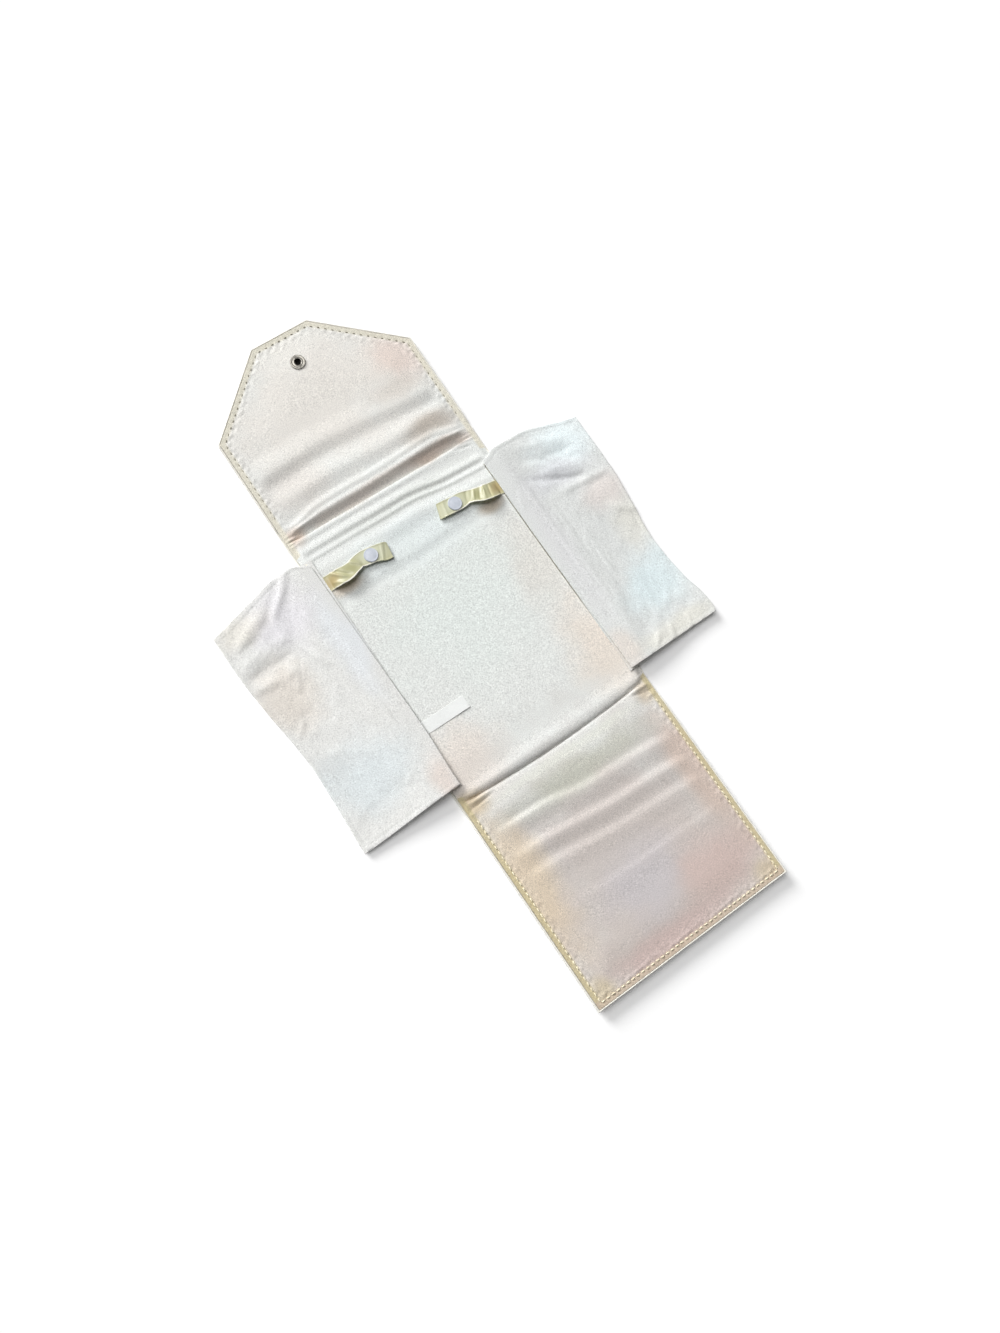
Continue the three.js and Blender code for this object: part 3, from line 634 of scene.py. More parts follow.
def thread(name, light, dark):
    """Twisted sewing thread: slanted plies with a painted highlight on top."""
    material, tree, shader = new_material(name, Roughness=0.45, Sheen_Weight=0.2)
    plies = lay_finish(tree, shader, TWISTED_PLIES, light, dark)
    bump(tree, shader, plies["Height"], 0.4, 0.2 * MM)
    return material


def metal(name, light, dark, roughness):
    """Plated snap metal, a little uneven and scuffed."""
    material, tree, shader = new_material(name, Metallic=1.0)
    rub = lay_finish(
        tree, shader, MOTTLED_FINISH, light, dark, Scale=600.0, Detail=4.0, Coarseness=0.5,
    )
    tree.links.new(vary(tree, rub["Level"], *roughness), shader.inputs["Roughness"])
    bump(tree, shader, rub["Level"], 0.08, 0.1 * MM)
    return material


def lacquer(name, light, dark):
    """Lacquer on the snap caps, softly glossy."""
    material, tree, shader = new_material(name, Coat_Weight=0.3, Coat_Roughness=0.15)
    mottle = lay_finish(
        tree, shader, MOTTLED_FINISH, light, dark, Scale=500.0, Detail=5.0, Coarseness=0.5,
    )
    tree.links.new(vary(tree, mottle["Level"], 0.32, 0.45), shader.inputs["Roughness"])
    bump(tree, shader, mottle["Level"], 0.06, 0.1 * MM)
    return material


LINING_SATIN = satin("pearl satin lining", "e4e6e3", LINING_TINTS_AND_PAINTED_LIGHT, border=hem_painted_shade)
LEFT_WING_SATIN = satin("pearl satin left wing", "e4e4e1", LEFT_WING_TINTS, relief=0.3)
RIGHT_WING_SATIN = satin("pearl satin right wing", "e0e2e0", RIGHT_WING_TINTS, relief=0.3)
RIBBON_SATIN = satin(
    "olive gold ribbon", "bebd98", RIBBON_TINTS_AND_PAINTED_LIGHT, roughness=(0.26, 0.36), speck=0.08, gloss=0.5,
)
LABEL_CLOTH = satin("woven label", "f0f2f0", [], roughness=(0.6, 0.75), speck=0.1)
LEATHERETTE = leatherette("ivory leatherette")
GREYBOARD = fibrous("greyboard", "b3aa9c", "968c7e", 300.0, 0.9)
WADDING = fibrous("white wadding", "f4f3f0", "e4e2dc", 500.0, 0.95)
GOLD_THREAD = thread("cream gold thread", "fcf5df", "e8dcb8")
DARK_THREAD = thread("grey olive thread", "a09a84", "6f6a58")
SNAP_METAL = metal("dark nickel", "8a8780", "625f5a", (0.2, 0.36))
# Painted shade: a dark cup that lines the hole of the closing socket.
SHADE_WELL_DARK = metal("dark well of painted shade", "1d1c1a", "100f0e", (0.5, 0.7))
CAP_LACQUER = lacquer("pale lilac lacquer", "c8cdd7", "bac0cb")

# Camera and light

CAMERA_AT = (-149.73, -102.75, 656.83)
CAMERA_AIM = (-3.12, -34.89, 4.4)
CAMERA_UP = (0.5333, 0.8206, 0.2052)
CAMERA_LENS = 40.32
SENSOR_WIDTH = 36.0

# Lamps: a direction that points at the lamp, strength, softness in degrees
LAMPS = {
    "window": ((-235, 870, 480), 2.9, 26),
    "broad_screen": ((-150, 400, 960), 1.64, 40),
}
FILL_LIGHT = 0.08
SEEN_WHITE = 1.0
TABLE_GLOW = 0.05
TABLE_HALF = 3000
TABLE_Z = -0.1


def look(obj, at, aim, up=(0, 0, 1)):
    """Puts a lamp or camera at a place, turned to its aim, with up towards the top of its picture."""
    back = (Vector(at) - Vector(aim)).normalized()
    right = Vector(up).cross(back).normalized()
    turn = Matrix((right, back.cross(right), back)).transposed()
    obj.matrix_world = Matrix.Translation(Vector(at) * MM) @ turn.to_4x4()


def make_camera():
    """The photograph's view: a camera above the case, looking down at a slant."""
    camera = bpy.data.cameras.new("camera")
    camera.sensor_fit = "HORIZONTAL"
    camera.sensor_width = SENSOR_WIDTH
    camera.lens = CAMERA_LENS
    obj = bpy.data.objects.new("camera", camera)
    bpy.context.scene.collection.objects.link(obj)
    look(obj, CAMERA_AT, CAMERA_AIM, CAMERA_UP)
    bpy.context.scene.camera = obj


def soft_sun(name, towards, strength, softness):
    """A broad even light from one side, given by a direction that points at it."""
    lamp = bpy.data.lights.new(name, "SUN")
    lamp.energy = strength
    lamp.angle = math.radians(softness)
    obj = bpy.data.objects.new(name, lamp)
    bpy.context.scene.collection.objects.link(obj)
    look(obj, towards, (0, 0, 0))


def seen_rays(tree):
    """One for rays that show a surface, directly or in metal or glass, and nothing for rays of light."""
    path = add(tree, "ShaderNodeLightPath").outputs
    seen = math_node(tree, "MAXIMUM", path["Is Camera Ray"], path["Is Glossy Ray"])
    return math_node(tree, "MAXIMUM", seen, path["Is Transmission Ray"])


def make_world():
    """A white surrounding that gives only a little fill light."""
    world = bpy.data.worlds.new("studio")
    bpy.context.scene.world = world
    world.use_nodes = True
    tree = world.node_tree
    background = tree.nodes["Background"]
    background.inputs["Color"].default_value = (1, 1, 1, 1)
    level = ramp(tree, seen_rays(tree), 0.0, 1.0, FILL_LIGHT, SEEN_WHITE)
    tree.links.new(level, background.inputs["Strength"])


def make_table():
    """A white table that keeps the shadow of the case."""
    material, tree, shader = new_material("white table", Roughness=0.9, Specular_IOR_Level=0.0)
    mottled = mix_colours(tree, noise(tree, own_place(tree), 3.0, 3.0), colour("fcfcfc"), colour("ffffff"))
    tree.links.new(mottled, shader.inputs["Base Color"])
    shader.inputs["Emission Color"].default_value = (1, 1, 1, 1)
    glow = math_node(tree, "MULTIPLY", seen_rays(tree), TABLE_GLOW)
    tree.links.new(glow, shader.inputs["Emission Strength"])
    table = level_square("table", TABLE_HALF, TABLE_Z, material)


def make_stage():
    """The studio: white surrounding, two lamps and a white table."""
    bpy.context.scene.view_settings.view_transform = "Standard"
    make_world()
    for name, (towards, strength, softness) in LAMPS.items():
        soft_sun(name, towards, strength, softness)
    make_table()


# Stitches

STITCH_INSET = 4.0
LOWER_PITCH = 3.6
FLAP_PITCH = 4.4
SEAM_PITCH = 2.8
# Pitch of the dark line at the wings' sewn edges, which is painted shade laid as touching stitches.
SEAM_SHADE_PITCH = 2.6
STITCH_STEPS = 7
STITCH_SIDES = 8
STITCH_TAPER = 0.85
STITCH_CROWN = 1.1
STITCH_DIVE = 1.5

# Length and width of a stitch in each row
LOWER_STITCH = (2.5, 0.85)
FLAP_STITCH = (1.7, 0.55)
SEAM_STITCH = (2.3, 0.5)
# The next row is the dark line at the wings' sewn edges, painted shade laid as touching stitches.
SEAM_SHADE_STITCH = (2.75, 0.5)


def hem_path(stops):
    """The line of the edge stitches round an end of the case, with corners at these places along it."""
    half = half_width_at(np.array(stops), STITCH_INSET)
    right = list(zip(half, stops))
    return [(-x, y) for x, y in right] + right[::-1]


def stitch_places(path, pitch):
    """Middle and direction of each stitch along a path, evenly spaced on each straight."""
    places = []
    for (x0, y0), (x1, y1) in zip(path, path[1:]):
        length = math.hypot(x1 - x0, y1 - y0)
        count = max(1, round(length / pitch))
        along = ((x1 - x0) / length, (y1 - y0) / length)
        for k in range(count):
            t = (k + 0.5) * length / count
            places.append(((x0 + along[0] * t, y0 + along[1] * t), along))
    return places


def stitch_mesh(name, places, length, width, material, surface):
    """A row of stitches, each a short bowed bead of thread that dives into the cloth at both ends."""
    steps = np.linspace(-1, 1, STITCH_STEPS)
    turn = np.arange(STITCH_SIDES) * 2 * math.pi / STITCH_SIDES
    radius = width / 2 * np.sqrt(1 - STITCH_TAPER * steps ** 4)
    points, faces = [], []
    for (x, y), (dx, dy) in places:
        xs, ys = x + steps * length / 2 * dx, y + steps * length / 2 * dy
        lift = surface(xs, ys) + 0.5 * width * (STITCH_CROWN - STITCH_DIVE * steps ** 4)
        first = len(points)
        for px, py, pz, r in zip(xs, ys, lift, radius):
            for t in turn:
                aside = r * math.cos(t)
                points.append((px - dy * aside, py + dx * aside, pz + r * math.sin(t)))
        for i in range(STITCH_STEPS - 1):
            low = first + i * STITCH_SIDES
            for k in range(STITCH_SIDES):
                k2 = (k + 1) % STITCH_SIDES
                faces.append([low + k, low + STITCH_SIDES + k, low + STITCH_SIDES + k2, low + k2])
        last = first + (STITCH_STEPS - 1) * STITCH_SIDES
        faces.append([first + k for k in range(STITCH_SIDES)])
        faces.append([last + k for k in reversed(range(STITCH_SIDES))])
    return new_object(name, place(*np.array(points).T), faces, material, sharp=80)


def sewn_row(name, body, places, size, material, surface):
    """A row of stitches that rides on a body."""
    row = stitch_mesh(name, places, *size, material, surface)
    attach(row, body)
    return row


HEM_MITRE = (TAPER_LENGTH - TAPER_RUN) * STITCH_INSET / TAPER_IN
LOWER_STITCHES = stitch_places(
    hem_path([LOWER_PANEL_CREASE + 1, LOWER_END + STITCH_INSET]), LOWER_PITCH,
)
FLAP_STITCHES = stitch_places(
    hem_path([FLAP_CREASE + 3, FLAP_SHOULDER - HEM_MITRE, FLAP_END - STITCH_INSET]), FLAP_PITCH,
)

# Lining

LINING = 0.4
LINING_INSET = 1.2

# Waves of the lining along the middle of the case: distance from the fold's middle, height
LOWER_WAVES = [
    (-130, 4.3), (-95, 4.35), (-83, 4.5), (-78, 4.25), (-70, 4.25), (-60, 4.65), (-55, 4.1),
    (-45.8, 4.75), (-40.8, 4.05), (-29.6, 4.8), (-24.6, 4.05), (-18, 4.35), (-12, 4.5), (-6, 4.35),
    (-2.4, 4.15), (-0.7, 3.9), (0, 3.1), (0.5, 3.7), (1.4, 4.3), (3.5, 4.75), (6, 4.9), (13, 4.4),
    (18, 4.3), (28, 4.36), (45, 4.4),
]
UPPER_WAVES = [
    (-90, 4.4), (-55, 4.42), (-49, 4.22), (-43, 4.5), (-33, 4.25), (-24.3, 4.55), (-17.2, 4.05),
    (-15.2, 4.3), (-12.4, 3.95), (-9.2, 4.4), (-4.6, 3.85), (-2.3, 4.1), (-0.5, 3.8), (0, 2.7),
    (1, 2.9), (7.5, 4.9), (10.2, 4.65), (12.6, 4.75), (16.5, 4.35), (24.8, 4.8), (35.8, 4.0),
    (44.8, 4.85), (57, 4.3), (75, 4.4), (119, 4.4),
]
WAVE_HEIGHT = smooth_curve(
    [(LOWER_FOLD + d, z) for d, z in LOWER_WAVES] + [(UPPER_FOLD + d, z) for d, z in UPPER_WAVES]
)
FULLNESS = 2.0

# Pinched gathers at the ends of the folds: from and to as (across, distance from the fold), width, height
LOWER_GATHERS = [
    ((-67, 0.6), (-47, 1.0), 1.5, 1.6), ((-68, 3.8), (-56, 2.2), 0.7, -0.7),
    ((-69, -2.8), (-50, -1.6), 0.8, -0.8), ((-69, 6.5), (-62, 5.6), 0.8, 0.5),
    ((-69, -5.5), (-63, -5), 0.8, 0.5), ((53, 1.6), (68, 0.4), 1.4, 1.5),
    ((51, 3.2), (68, 4.6), 0.7, -0.8), ((54, -0.4), (62, -3), 0.7, -0.8),
    ((62, -3), (69, -3.4), 0.7, -0.8), ((62, 6.8), (69, 7.2), 0.8, 0.5),
    ((61, -6), (69, -6.4), 0.9, 0.5),
]
UPPER_GATHERS = [
    ((-69, -3.2), (-60, -2), 0.7, 0.7), ((-69, -0.6), (-61, -0.4), 0.6, 0.8),
    ((-69, 2), (-60, 1.6), 0.7, 0.8), ((-69, 4.6), (-61, 4.4), 0.7, 0.6),
    ((-69, 0.7), (-58, 0.5), 0.5, -0.6), ((50, -2), (63, -5.4), 0.7, -0.9),
    ((52, 0.2), (65, -1.4), 0.8, 0.8), ((55, 2.6), (68, 1.4), 0.7, 0.6),
    ((57, -0.9), (69, -2.9), 0.5, -0.6), ((58, 4.6), (69, 3.6), 0.7, 0.5),
]
GATHER_SHARE = 0.6

# Edge of the lining: it starts inside the hem's stitches and rises slowly, or at once on the centre panel
HEM_START = 4.6
HEM_RISE = 28.0
FLAP_EXTRA_RISE = 6.0
CENTRE_START = 1.9
CENTRE_RISE = 4.4
WAVE_START = 0.5
WAVE_RISE = 9.0
GATHER_START = 0.8
GATHER_RISE = 2.5
HEM_LIFT = 0.5
FOLD_DIP = 0.1
LINING_CLEARANCE = 0.15

# Small forms beside the stitches
STITCH_DIMPLE = 0.3
DIMPLE_RADIUS = 1.2
PUCKER_INSET = 6.0
PUCKER_WIDTH = 2.2
PUCKER_PITCH = 1.3
PUCKER_HEIGHT = 0.28
TUCK_INSET = 6.3
TUCK_WIDTH = 1.1
TUCK_PITCH = 4.4
TUCK_HEIGHT = 0.45

# Snaps that the lining lies flat around, and the well of the closing socket
CALM_SPOTS = [span(f"{side}_strap_stud") for side in ("left", "right")] + [span("closure_socket")]
CALM_RADIUS = 9.0
CLOSURE_REACH = 83.2
SOCKET_WELL = 2.6
WELL_RADIUS = 2.6
WELL_SLOPE = 1.6


def crease_bow(x):
    """How far the crease of the lower fold bows towards the centre panel, across the case."""
    return 0.5 + 2.4 * (x / 60) ** 2


def wave_shift(x, y):
    """How far the waves lean and wander away from straight lines across the case.

    Each shift grows from one place across the case, and holds on one stretch along it.
    """
    low, up = y - LOWER_FOLD, y - UPPER_FOLD
    lean = -0.075 * x * plateau(low, -92, -66, -28, -8)
    step = 2.2 * ease(-(x + 5) / 24) * plateau(low, -38, -31, -24, -15)
    sink = -4.4 * ease((x - 5) / 34) * plateau(up, -38, -26, -12, -2.5)
    curl = -4 * ease((x - 12) / 46) * plateau(up, 22, 36, 48, 62)
    ends = -4 * ease((np.abs(x) - 40) / 20) * plateau(up, 2, 11, 13, 26)
    flare = 2.2 * ease((x + 10) / 50) * plateau(up, 1, 6, 12, 24)
    bow = crease_bow(x) * plateau(low, -9, -1, 1, 10)
    off_creases = (1 - plateau(low, -9, -3, 3, 9)) * (1 - plateau(up, -6, -1, 3, 9))
    wander = 1.1 * soft_noise(x / 24, y / 20, 3) * off_creases
    return lean + step + sink + curl + ends + flare + bow + wander


def lining_waves(x, y):
    """Waves of the lining above and below its plain level, fading to the sides of the lower panel."""
    swell = 0.85 + 0.2 * soft_noise(x / 30, y / 16, 8)
    sides = 1 - plateau(x, -68, -42, 44, 68)
    fade = 1 - sides * plateau(y - LOWER_FOLD, -140, -120, -20, -12)
    return (WAVE_HEIGHT(y - wave_shift(x, y)) - LINING_TOP) * FULLNESS * swell * fade


def calm_near_snaps(x, y):
    """Nothing at the snaps, where the lining lies flat, and one away from them."""
    calm = 1.0
    for low, high in CALM_SPOTS:
        away = np.hypot(x - (low[0] + high[0]) / 2, y - (low[1] + high[1]) / 2)
        calm = calm * (1 - np.exp(-((away / CALM_RADIUS) ** 4)))
    return calm


def dimples(x, y, places):
    """Small hollows where the stitches pull the lining down."""
    total = np.zeros(np.broadcast(x, y).shape)
    for (px, py), _ in places:
        total -= STITCH_DIMPLE * np.exp(-((x - px) ** 2 + (y - py) ** 2) / DIMPLE_RADIUS ** 2)
    return total


def end_tucks(x, y, edge):
    """A row of small tucks beside the stitches at the end of the lower panel."""
    row = ease((edge - STITCH_INSET) / 2) * ridge(y, LOWER_END + TUCK_INSET, TUCK_WIDTH)
    beat = np.cos(2 * math.pi * x / TUCK_PITCH + soft_noise(x / 9, 0, 5))
    return TUCK_HEIGHT * row * ease(beat - 0.2)


def hem_puckers(x, y, edge):
    """Fine puckers just inside the stitches of a hem."""
    crumpled = soft_noise(x / PUCKER_PITCH, y / PUCKER_PITCH, 6)
    return PUCKER_HEIGHT * ridge(edge, PUCKER_INSET, PUCKER_WIDTH) * crumpled


def fold_share(y):
    """One in the middle of a soft fold, easing to nothing on the panels."""
    lower = plateau(y, LOWER_PANEL_CREASE - 3, LOWER_PANEL_CREASE + 6, LOWER_CREASE - 4, LOWER_CREASE + 5)
    upper = plateau(y, UPPER_CREASE - 5, UPPER_CREASE + 6, FLAP_CREASE - 6, FLAP_CREASE + 3)
    return lower + upper


def centre_share(y):
    """One on the centre panel, easing to nothing over the soft folds."""
    return plateau(y, LOWER_PANEL_CREASE - 8, LOWER_CREASE + 4, UPPER_CREASE - 4, FLAP_CREASE + 18)


def rim_height(y):
    """Top of the cover's turned-up edge: a little higher where the hems are sewn through padding."""
    return RIM_TOP + HEM_LIFT * (1 - centre_share(y))


def lining_height(x, y):
    """Upper face of the lining on the flat case."""
    edge = edge_distance(x, y)
    centre = centre_share(y)
    border = rim_height(y) - FOLD_DIP * fold_share(y)
    start = HEM_START + (CENTRE_START - HEM_START) * centre
    wide = HEM_RISE + FLAP_EXTRA_RISE * ease((y - UPPER_FOLD) / 20)
    end = wide + (CENTRE_RISE - wide) * centre
    rise = ease((edge - start) / (end - start))
    play = ease((edge - start - WAVE_START) / WAVE_RISE) * calm_near_snaps(x, y)
    height = border + rise * (LINING_TOP - border) + play * lining_waves(x, y)
    height = height + end_tucks(x, y, edge) + hem_puckers(x, y, edge) * (1 - centre)
    height = height + dimples(x, y, LOWER_STITCHES) + dimples(x, y, FLAP_STITCHES)
    gather = strokes(x, y - LOWER_FOLD, LOWER_GATHERS) + strokes(x, y - UPPER_FOLD, UPPER_GATHERS)
    height = height + GATHER_SHARE * gather * ease((edge - GATHER_START) / GATHER_RISE)
    from_socket = np.hypot(x, y - FLAP_CREASE - CLOSURE_REACH)
    height = height + (SOCKET_WELL - height) * (1 - ease((from_socket - WELL_RADIUS) / WELL_SLOPE))
    return np.maximum(height, COVER + LINING + LINING_CLEARANCE)


def strip_grid(y_places, inset, fine, coarse, margin):
    """Grid of places across the case, row by row, following the crease where a row lies on one."""
    edge = margin / HALF_WIDTH
    shares = graded(0, 2, fine / HALF_WIDTH, coarse / HALF_WIDTH, edge) - 1
    y = np.repeat(y_places[:, None], len(shares), axis=1)
    half = half_width_at(y, inset)
    x = np.where(
        np.abs(shares) > 1 - edge,
        np.sign(shares) * (half - (1 - np.abs(shares)) * HALF_WIDTH),
        shares / (1 - edge) * (half - margin),
    )
    near_crease = np.maximum(0, 1 - np.abs(y - LOWER_FOLD) / 12)
    return x, y + near_crease * crease_bow(x)


# Parts of the case along its length, each with one crease towards the strip in the middle of a fold

RIM = 1.0
RIM_STEPS = np.array([0, 0.12, 0.28, 0.5, 0.8, RIM, 1.1, 3, 8])
RIM_RISE = [0.72, 0.9, 0.985, 1, 0.98, 0.86, 0, 0, 0]
UNDER_EDGE = [0.5, 0.22, 0.05, 0, 0, 0, 0, 0, 0]
COVER_COLUMNS = 15
FOLD_RIM = 0.25
NO_HEM = 50.0

# Side is where the strip lies along the case, reach is half the length of the bend, and columns are the
# lining's fine and coarse steps across the case and the margin of the fine ones
PARTS = {
    "lower": {
        "panel": "lower", "body": "lower_panel", "fold": "lower_fold", "spine": "lower_spine",
        "crease": LOWER_PANEL_CREASE, "side": 1, "reach": 6.0, "columns": (0.6, 1.2, 11),
        "lining_rows": graded(LOWER_END + LINING_INSET, LOWER_FOLD, fine=0.5, coarse=0.95, margin=9),
        "cover_rows": np.concatenate([
            LOWER_END + RIM_STEPS,
            np.linspace(LOWER_END + 12, LOWER_FOLD, 64),
        ]),
    },
    "centre_low": {
        "panel": "centre", "body": "centre", "fold": "lower_fold", "spine": "lower_spine",
        "crease": LOWER_CREASE, "side": -1, "reach": 6.0, "columns": (1.0, 2.0, 10),
        "lining_rows": np.concatenate([
            np.arange(LOWER_FOLD, LOWER_CREASE + 14, 0.6),
            np.linspace(LOWER_CREASE + 14.2, CENTRE_SPLIT, 42),
        ]),
        "cover_rows": np.linspace(LOWER_FOLD, CENTRE_SPLIT, 52),
    },
    "centre_high": {
        "panel": "centre", "body": "centre", "fold": "upper_fold", "spine": "upper_spine",
        "crease": UPPER_CREASE, "side": 1, "reach": 3.5, "columns": (1.0, 1.8, 10),
        "lining_rows": np.concatenate([
            np.linspace(CENTRE_SPLIT, 36, 16),
            np.linspace(36.7, UPPER_FOLD, 88),
        ]),
        "cover_rows": np.linspace(CENTRE_SPLIT, UPPER_FOLD, 50),
    },
    "flap": {
        "panel": "flap", "body": "flap", "fold": "upper_fold", "spine": "upper_spine",
        "crease": FLAP_CREASE, "side": -1, "reach": 6.0, "columns": (0.6, 1.6, 11),
        "lining_rows": np.concatenate([
            np.linspace(UPPER_FOLD, FLAP_CREASE + 8, 36),
            np.linspace(FLAP_CREASE + 8.8, FLAP_END - LINING_INSET, 112),
        ]),
        "cover_rows": np.concatenate([
            np.linspace(UPPER_FOLD, FLAP_SHOULDER, 50),
            np.linspace(FLAP_SHOULDER + 1, FLAP_END - 9, 26),
            FLAP_END - RIM_STEPS[::-1],
        ]),
    },
}


def bend_at_crease(piece):
    """Bakes a piece's placement into its mesh."""
    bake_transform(piece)


def hems_only(y):
    """Puts the centre panel, which has no hem, far inside the edge."""
    return NO_HEM * plateau(y, LOWER_CREASE - 4, LOWER_CREASE + 4, UPPER_CREASE - 4, UPPER_CREASE + 4)


def whole_edge(y):
    """Leaves every distance from the edge as it is."""
    return np.zeros_like(y)


def lining_piece(part):
    """The satin over one part of the case, with its waves, gathers and sewn hem."""
    cut = PARTS[part]
    x, y = strip_grid(cut["lining_rows"], LINING_INSET, *cut["columns"])
    z = lining_height(x, y)
    top, bottom, flat = place(x, y, z), place(x, y, z - LINING), np.stack([x, y, z], axis=-1)
    piece = closed_sheet(f"{part}_satin", top, bottom, flat, LINING_SATIN, bulge=0.08)
    keep_edge_distance(piece, hems_only)
    bend_at_crease(piece)
    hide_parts(f"{cut['panel']}_lining", f"{cut['fold']}_lining")


def cover_piece(part):
    """The cover under one part of the case: a thin tray with its edge turned up around the board."""
    cut = PARTS[part]
    rows = cut["cover_rows"][:, None]
    right = np.concatenate([half_width_at(rows, step) for step in RIM_STEPS[::-1]], axis=1)
    inner = half_width_at(rows, RIM_STEPS[-1]) * np.linspace(-1, 1, COVER_COLUMNS)[None, 1:-1]
    x = np.concatenate([-right[:, ::-1], inner, right], axis=1)
    y = rows + np.zeros_like(x)
    edge = edge_distance(x, y)
    rim = rim_height(y) - (RIM_TOP - COVER - FOLD_RIM) * fold_share(y)
    z = COVER + (rim - COVER) * np.interp(edge, RIM_STEPS, RIM_RISE)
    top, flat = place(x, y, z), np.stack([x, y, z], axis=-1)
    bottom = place(x, y, np.interp(edge, RIM_STEPS, UNDER_EDGE))
    piece = closed_sheet(f"{part}_cover", top, bottom, flat, LEATHERETTE, bulge=0.1)
    keep_edge_distance(piece, whole_edge)
    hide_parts(f"{cut['panel']}_outer_cover", f"{cut['fold']}_cover")
    bend_at_crease(piece)


# Padding

PAD_BASE = 2.35
PAD_CROWN = 1.7
PAD_EDGE = 0.25
PAD_FALL = 7.0
PAD_LEAST = 0.2
PAD_GAP = 0.12

# Pads: from and to along the case, distance inside its edges, body
PADS = {
    "lower": (LOWER_END, LOWER_PANEL_CREASE, 9.0, "lower_panel"),
    "centre": (LOWER_CREASE, UPPER_CREASE, 4.0, "centre"),
    "flap": (FLAP_CREASE, FLAP_END, 9.0, "flap"),
}


def pad_piece(part):
    """Wadding over one board, crowned, falling off to its edges and pressed to the lining's shape."""
    y_from, y_to, inset, body = PADS[part]
    rows = graded(y_from + inset, y_to - inset, fine=0.8, coarse=3.0, margin=6)[:, None]
    shares = graded(0, 2, fine=0.012, coarse=0.045, margin=0.09) - 1
    x = half_width_at(rows, inset) * shares[None, :]
    y = rows + np.zeros_like(x)
    edge = np.minimum(edge_distance(x, y), np.minimum(y - y_from, y_to - y)) - inset
    crown = PAD_BASE + PAD_EDGE + (PAD_CROWN - PAD_EDGE) * np.sqrt(ease(edge / PAD_FALL))
    under_lining = lining_height(x, y) - LINING - PAD_GAP
    z = np.maximum(np.minimum(crown, under_lining), PAD_BASE + PAD_LEAST)
    top, bottom, flat = place(x, y, z), place(x, y, PAD_BASE), np.stack([x, y, z], axis=-1)
    piece = closed_sheet(f"{part}_pad", top, bottom, flat, WADDING, bulge=0.15)
    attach(piece, body)
    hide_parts(f"{part}_padding")


# Label

LABEL_CURL = 0.4
LABEL_FREE_END = 16.0
LABEL_WAVES = 0.12
LABEL_SEWN_END = 6.0
LABEL_RISE = 10.0


def label_piece():
    """The blank sewn-in label, its free end lifting a little from the lining."""
    low, high = span("care_label")
    x = np.linspace(low[0], high[0], 30)[None, :]
    y = np.linspace(low[1], high[1], 12)[:, None]
    curl = LABEL_CURL * ease((x - high[0] + LABEL_FREE_END) / LABEL_FREE_END)
    lift = curl + LABEL_WAVES * soft_noise(x / 5, y / 4, 9)
    z = high[2] + lift * ease((x - low[0] - LABEL_SEWN_END) / LABEL_RISE)
    x, y, z = np.broadcast_arrays(x, y, z)
    top = np.stack([x, y, z], axis=-1)
    bottom = np.stack([x, y, z - (high[2] - low[2])], axis=-1)
    piece = closed_sheet("blank_label", top, bottom, top, LABEL_CLOTH, bulge=0.06)
    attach(piece, "centre")
    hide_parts("care_label")
    return piece


# Wings

WING_PLY = 0.8
WING_ROOT_Z = hinge_at("left_wing_root_fold")[2]
WING_BEND = abs(hinge_at("left_wing_fold")[0])
WING_SEAM = 63.0
WING_WIDTH = 67.0
WING_LOW = 1.5
WING_FALL_BEFORE = 3.0
WING_FALL = 50.0
WING_FOLD_HEIGHT = 2.0
WING_WANDER = 0.35
WING_TABLE_GAP = 0.1
WING_LOOSE = 18.0

# Outer edge of a wing as pressed: distance inside the edge and width, of its roll and of the groove beside it
PRESSED_ROLL = (1.2, 0.8)
PRESSED_GROOVE = (2.8, 0.5)

# Where a wing is sewn down: ends and inset of the dark line of thread, which is painted shade in the gap
# under the wing's edge, and the frayed side of the seam allowance
SEAM_SHADE_ENDS = (-79, 78)
SEAM_SHADE_INSET = 0.25
FRAY_DEPTH = 0.25
FRAY_PITCH = 2.1
FRAY_REACH = 2.0

